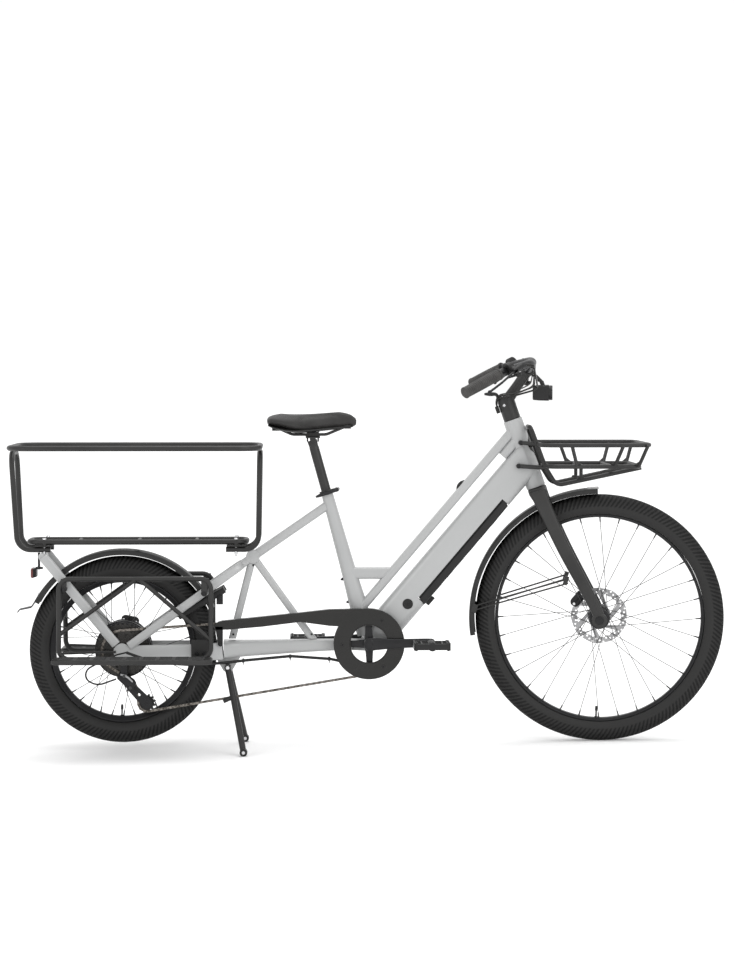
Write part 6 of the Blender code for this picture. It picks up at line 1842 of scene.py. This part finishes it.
# ---- centre stand
# Two splayed steel legs welded to a pivot tube below the frame, with a plastic wheel-shaped foot on each
# and a foot tab for pushing the stand down.
STAND_POINT, FOOT_POINT = at(-1043.6, 213.4), at(-998.0, -9.5)
STAND_SPREAD, STAND_FOOT_RADIUS = 145.0, 10.6
leg_way = (FOOT_POINT - STAND_POINT).normalized()
piece("centre_stand_legs", [
    drum([(-45, 8), (-44, 9), (44, 9), (45, 8)], STAND_POINT, sides=40),
    *[tube([
        STAND_POINT + side * 34 * LEFT, FOOT_POINT - 24 * leg_way + side * (STAND_SPREAD - 12) * LEFT,
        FOOT_POINT + side * STAND_SPREAD * LEFT,
    ], 8.6, sides=28) for side in (-1, 1)],
    tube([
        STAND_POINT + 80 * leg_way - 70 * LEFT, STAND_POINT + 92 * leg_way - 74 * LEFT - 30 * FORWARD,
    ], 6.4),
], satin_coat, "stand", ["centre_stand"], bevel=0.6)
piece("centre_stand_feet", [
    ring([
        (side * STAND_SPREAD - 13, 5), (side * STAND_SPREAD + 13, 5), (
            side * STAND_SPREAD + 13, STAND_FOOT_RADIUS - 1,
        ),
        (side * STAND_SPREAD + 12, STAND_FOOT_RADIUS), (side * STAND_SPREAD - 12, STAND_FOOT_RADIUS),
        (side * STAND_SPREAD - 13, STAND_FOOT_RADIUS - 1),
    ], FOOT_POINT, sides=48) for side in (-1, 1)
], black_plastic, "stand", bevel=0.0)
piece("centre_stand_caps", [
    drum([(side * STAND_SPREAD - 13.4, 4.6), (side * STAND_SPREAD + 13.4, 4.6)], FOOT_POINT, sides=32)
    for side in (-1, 1)
] + [
    drum([(side * 44, 6), (side * 48, 6), (side * 49, 5)][::side], STAND_POINT, sides=6) for side in (-1, 1)
], bright_steel, "stand", bevel=0.5)

# ---- brake calipers
# Forged alloy calipers, slotted for the rotor and finned behind the pads, with two bolts on the near face.
def caliper(name, axle, disc_y, angle, body, place):
    centre = axle + (ROTOR_RADIUS - 4) * turn(angle) + disc_y * LEFT
    way, out = turn(angle + 90), turn(angle)
    piece(
        f"{name}_body",
        [
            bar(
                smooth_stations([
                    (centre - 25 * way, 7, 6.4), (centre - 17 * way, 13.6, 8.6), (centre, 14, 8.8),
                    (centre + 17 * way, 13.6, 8.6), (centre + 25 * way, 7, 6.4),
                ], 5),
                sides=40, square=3.4,
            )
        ],
        black_alloy, body, [name], cuts=[block(centre - 24 * out, 62, 3.6, 80, out)],
        bevel=0.5, place=place,
    )
    copies(f"{name}_fins", [bar([
        (Vector((-11, 0, 0)), 0.6, 1.2), (Vector((-9, 0, 0.8)), 1.0, 1.4), (Vector((9, 0, 0.8)), 1.0, 1.4),
        (Vector((11, 0, 0)), 0.6, 1.2),
    ], sides=12)], [
        (centre + 3.2 * step * way - 8.7 * side * LEFT, facing_way(-side * LEFT, way), (0.9, 0.7, 1.0))
        for step in (-3, -2, -1, 0, 1, 2, 3) for side in (1, -1)
    ], black_alloy, body, place=place)
    copies(f"{name}_bolts", bolt_head, [
        (centre + end * 18 * way - 8.2 * LEFT, facing_way(-LEFT, FORWARD), (0.9, 0.9, 0.9)) for end in (-1, 1)
    ], bright_steel, body, place=place)


caliper("front_caliper", FRONT_AXLE, FRONT_ROTOR_Y, 141, "steering", STEERING_TO_WORLD)
caliper("rear_caliper", REAR_AXLE, REAR_ROTOR_Y, 78, "frame", TO_WORLD)

# ---- fork and stem
# A rigid fork of two oval legs welded into a wide crown, with thick dropouts and a flush axle cap. Above
# the head tube an alloy column clamps the steerer and carries the forged stem.
COLUMN_LOW, COLUMN_TOP, COLUMN_RADIUS = HEAD_TOP + 0.6, HEAD_TOP + 69.6, 24.0
STEERER_RADIUS = 14.3
CLAMP_POINT = at(-201.0, 1045.0)
BAR_FRONT = at(-187.0, 1067.0, 95.0)
GRIP_START = at(-276.0, 1041.7, 231.0)
GRIP_END = at(-367.0, 993.0, 310.0)
GRIP_WAY = (GRIP_END - GRIP_START).normalized()
half_bar = [CLAMP_POINT + 26 * LEFT, BAR_FRONT, GRIP_START, GRIP_END]


def handlebar(extra=0.0):
    return tube(list(reversed(mirrored(half_bar))) + half_bar, 12.0 + extra, sides=32, corner=70, steps=10)


piece("fork_legs", [
    fork_crown(), fork_leg(-1), fork_leg(1),
    *[drum([
        (side * 62 - 11, 19.5), (side * 62 - 10, 21), (side * 62 + 10, 21), (side * 62 + 11, 19.5),
    ], FRONT_AXLE,
           sides=48) for side in (-1, 1)],
    drum([(CROWN_HEIGHT - 5, STEERER_RADIUS), (COLUMN_TOP - 12, STEERER_RADIUS)], steered(0), STEER_UP, 40),
], satin_coat, "steering", ["fork"], bevel=0.8)
piece("fork_axle", [
    drum([(-77.8, 8), (-77, 11.4), (-73, 12), (-62, 12)], FRONT_AXLE, sides=40),
    drum([(-62, 6), (62, 6)], FRONT_AXLE, sides=24),
    drum([(62, 10), (75, 10), (76.5, 8.4)], FRONT_AXLE, sides=32),
], black_alloy, "steering", bevel=0.4)
stem_way = (CLAMP_POINT - steered(COLUMN_TOP - 17)).normalized()
piece("stem_body", [
    drum([(COLUMN_LOW, COLUMN_RADIUS - 1), (COLUMN_LOW + 1, COLUMN_RADIUS), (COLUMN_TOP - 2, COLUMN_RADIUS),
          (COLUMN_TOP, COLUMN_RADIUS - 2)], steered(0), STEER_UP, 56),
    bar(smooth_stations([
        (steered(COLUMN_TOP - 17, 0), 17, 16), ((steered(COLUMN_TOP - 17, 0) + CLAMP_POINT) / 2, 14.5, 15),
        (CLAMP_POINT - 8 * stem_way, 15, 18),
    ]), sides=40, square=3.0),
    drum([(-21, 17), (-20, 19), (20, 19), (21, 17)], CLAMP_POINT, sides=48),
], satin_coat, "steering", ["stem"], bevel=0.8,
      cuts=[handlebar(0.3), drum([
          (COLUMN_LOW - 5, STEERER_RADIUS + 0.3), (COLUMN_TOP - 11.4, STEERER_RADIUS + 0.3),
      ],
                                 steered(0), STEER_UP, 40)])
copies("stem_bolts", bolt_head, [
    *[(CLAMP_POINT + up * 12 * UP + side * 13 * LEFT + math.sqrt(17.6 ** 2 - 12 ** 2) * stem_way,
       facing_way(stem_way, UP), (0.8, 0.8, 0.8)) for up in (-1, 1) for side in (-1, 1)],
    (steered(COLUMN_TOP - 24, -8, -COLUMN_RADIUS + 1.6), facing_way(-LEFT, FORWARD), (0.9, 0.9, 0.7)),
    (steered(COLUMN_TOP + 0.4), facing_way(STEER_UP, LEFT), (1.6, 1.6, 0.9)),
], bright_steel, "steering")

# ---- handlebar and grips
# One swept alloy tube, anodised black, with ribbed rubber grips. A small bell sits by the stem.
grip_rubber = Finish("soft grip rubber", (0.038, 0.037, 0.036), 0.6, shine=0.35)
grip_rubber.set(
    "Base Color",
    grip_rubber.place.noise(40.0, 4.0).clamped(0.3, 0.7).blend(
        (0.030, 0.029, 0.028), (0.056, 0.054, 0.052),
    ),
)
grip_rubber.set("Roughness", grip_rubber.place.noise(200.0) * 0.2 + 0.5)
grip_rubber.bump(grip_rubber.place.noise(1200.0, 3.0), 0.00008)
piece("handlebar_tube", [handlebar()], black_alloy, "steering", ["handlebar"], bevel=0.6)
for name, hand in (("grip_right", -1), ("grip_left", 1)):
    start, way = (Vector((p.x, hand * p.y, p.z)) for p in (GRIP_START, GRIP_WAY))
    profile = [(4, 13), (4.4, 17), (8, 17), (9, 15)]
    for i in range(19):
        along = 12 + 6.1 * i
        belly = 15.1 + 0.8 * math.sin(math.pi * min(1.0, along / 120))
        profile += [
            (along, belly - 0.6), (along + 1.0, belly + 0.25), (along + 4.2, belly + 0.25),
            (along + 5.2, belly - 0.6),
        ]
    profile += [(129, 16.2), (132, 16.0), (134.6, 13), (135, 10)]
    piece(f"{name}_sleeve", [drum(profile, start, way, 64)], grip_rubber, "steering", [name],
          cuts=[handlebar(0.3), drum([(120, 11), (131, 11)], start, way, 24)])
piece("column_lever", [
    bar(smooth_stations([
        (steered(COLUMN_TOP - 8, -20, -12), 4, 6), (at(-290, 974, -16), 4.4, 7), (at(-308, 976, -18), 5.6, 9),
        (at(-324, 976, -20), 3.0, 5),
    ]), sides=32, square=3.0),
], black_plastic, "steering", bevel=0.4)
piece("bell", [
    drum([
        (0, 3), (0.4, 11), (3, 13.4), (7, 13), (11, 9.5), (13, 4), (13.3, 1.2),
    ], CLAMP_POINT + 42 * LEFT - at(0, 34) - 6 * FORWARD, -UP, 40),
    ring(
        [(-3, 12.6), (3, 12.6), (3, 15), (-3, 15)], CLAMP_POINT + 42 * LEFT + at(3.6, 5.4),
        (BAR_FRONT - half_bar[0]).normalized(), 32,
    ),
    tube([CLAMP_POINT + 42 * LEFT - at(4, 34), CLAMP_POINT + 42 * LEFT - at(0, 8)], 3.4),
], satin_coat, "steering", bevel=0.4)

# ---- brake controls, levers and shift trigger
# Hydraulic controls: a moulded clamp and master cylinder on each side, a forged two-finger lever on a pivot
# pin, and under the right one a trigger for the gears.
LEVER_OUT = GRIP_WAY.cross(UP).normalized()
LEVER_OUT = LEVER_OUT if LEVER_OUT.x > 0 else -LEVER_OUT
control_point = GRIP_START - 34.0 * GRIP_WAY
lever_pivot = control_point + 27 * LEVER_OUT + 6 * GRIP_WAY - 5 * UP
LEVER_AXIS = GRIP_WAY.cross(LEVER_OUT).normalized()
lever_tip = lever_pivot + 101 * GRIP_WAY + 13 * LEVER_OUT - 14 * UP


def to_side(hand, point):
    return Vector((point.x, hand * point.y, point.z))


for side_name, hand in (("right", -1), ("left", 1)):
    grip_way, axis = to_side(hand, GRIP_WAY), to_side(hand, LEVER_AXIS)
    piece(f"brake_control_{side_name}_body", [
        drum([(-9, 16), (-8, 17), (8, 17), (9, 16)], to_side(hand, control_point), grip_way, 40),
        tube([
            to_side(hand, control_point + 12 * LEVER_OUT - 2 * GRIP_WAY),
            to_side(hand, lever_pivot - 4 * GRIP_WAY),
        ],
             8.6, sides=32),
        tube([to_side(hand, control_point + 22 * LEVER_OUT - 30 * GRIP_WAY - 4 * UP),
              to_side(hand, lever_pivot + 2 * GRIP_WAY)], 8.3, sides=32),
    ], black_plastic, "steering", [f"brake_control_{side_name}"], bevel=0.8, cuts=[
        handlebar(0.3),
        tube([
            to_side(hand, lever_pivot - 14 * LEVER_AXIS), to_side(hand, lever_pivot + 14 * LEVER_AXIS),
        ], 3.4),
        drum([(-3.6, 16), (3.6, 16)], to_side(hand, lever_pivot + 5 * LEVER_OUT + 6 * GRIP_WAY), axis, 32),
    ])
    copies(f"brake_control_{side_name}_screws", bolt_head, [
        (
            to_side(hand, control_point - 15.8 * LEVER_OUT), facing_way(-to_side(hand, LEVER_OUT), UP),
            (0.6, 0.6, 0.6),
        )
    ], bright_steel, "steering")
    piece(
        f"brake_lever_{side_name}_blade",
        [
            tube([
                to_side(hand, point)
                for point in (
                    lever_pivot + 1.0 * LEVER_OUT, lever_pivot + 16 * GRIP_WAY + 9 * LEVER_OUT,
                    lever_pivot + 60 * GRIP_WAY + 17 * LEVER_OUT - 6 * UP, lever_tip,
                )
            ], 3.2, sides=24, corner=20, steps=8),
            tube([
                to_side(hand, lever_pivot - 9 * LEVER_AXIS), to_side(hand, lever_pivot + 9 * LEVER_AXIS),
            ], 3.0, sides=24),
            drum([
                (-3, 2.6), (-1.5, 4.4), (1, 5.0), (3.5, 4.8), (5.6, 3.2), (6.2, 1),
            ], to_side(hand, lever_tip), grip_way, 32),
        ],
        black_alloy, f"lever_{side_name}", [f"brake_lever_{side_name}"],
    )

shift_pivot = control_point - 21 * GRIP_WAY + 18 * LEVER_OUT - 24 * UP
piece("shift_trigger_body", [
    drum([(-5, 7), (-4, 8), (4, 8), (5, 7)], to_side(-1, shift_pivot), to_side(-1, LEVER_AXIS), 36),
    tube([
        to_side(-1, shift_pivot), to_side(-1, shift_pivot + 23 * GRIP_WAY - 21 * LEVER_OUT),
    ], 3.3, sides=24),
], black_plastic, "shift_trigger", ["shift_trigger"], bevel=0.6)

# ---- headlight
# A rounded black box on a bracket from the stem, with a clear lens in a round rim.
LAMP_POINT = at(-161.5, 979.5)
piece("headlight_body", [
    bar([
        (LAMP_POINT - at(28, 0), 17, 15), (LAMP_POINT - at(26, 0), 20, 18), (
            LAMP_POINT - at(8, 0), 21.5, 20.5,
        ),
        (LAMP_POINT + at(17, 0), 22, 21),
    ], sides=48, square=7.0),
    drum([
        (10, 20.5), (25, 20.5), (27.4, 19.8), (27.4, 17.4), (17, 16.4), (16, 2),
    ], LAMP_POINT, FORWARD, 56),
    bar([(LAMP_POINT + at(4, 12), 6, 9, FORWARD), (at(-166, 1013), 6, 9, FORWARD)], sides=24, square=3.0),
    bar([(at(-166, 1010), 6, 9, FORWARD), (at(-186, 1030), 6, 9, FORWARD)], sides=24, square=3.0),
], black_plastic, "steering", ["headlight"], bevel=0.6,
      cuts=[
          drum([(-30, 19.3), (30, 19.3)], CLAMP_POINT, sides=40), handlebar(0.3),
      ])
piece("headlight_lens", [
    drum([(16, 16.2), (21, 16.6), (24.4, 16.4), (26.0, 12), (26.8, 5), (27, 1)], LAMP_POINT, FORWARD, 56),
], clear_reflector, "steering")
piece("headlight_rim", [
    ring([(22, 17.2), (26.4, 17.2), (27.2, 18.4), (26.4, 20.1), (22, 20.4)], LAMP_POINT, FORWARD, 64),
], bright_steel, "steering")

# ---- hoses
# Two brake hoses and two thinner cables loop forward from the controls and go into a moulded port behind
# the column.
hose_port = steered(COLUMN_TOP - 30, -(COLUMN_RADIUS + 6))
port_end = control_point + 22 * LEVER_OUT - 30.6 * GRIP_WAY - 4 * UP + 3 * LEVER_OUT - 9 * GRIP_WAY


def hose(hand, rise, far, radius=2.6, aside=4.0):
    start = to_side(hand, port_end)
    return tube(bend([
        start, start + Vector((24, 0, 6 + rise)), Vector((-188 + far, hand * 78, 1005 + rise)),
        Vector((-240, hand * 52, 985 + rise)), Vector((-292, hand * 26, 976 + rise)),
        hose_port + hand * aside * LEFT + 6 * STEER_UP,
    ], 34, 10), radius, sides=16)


piece("control_hose_runs", [
    block(hose_port, 20, 22, 10.5, STEER_UP), hose(1, -12, 0), hose(-1, -12, 14), hose(-1, -6, 4, 2.1, 7.5),
    hose(1, -5, -8, 1.8, 8.0),
], gloss_plastic, "steering", ["control_hoses"], bevel=0.5)
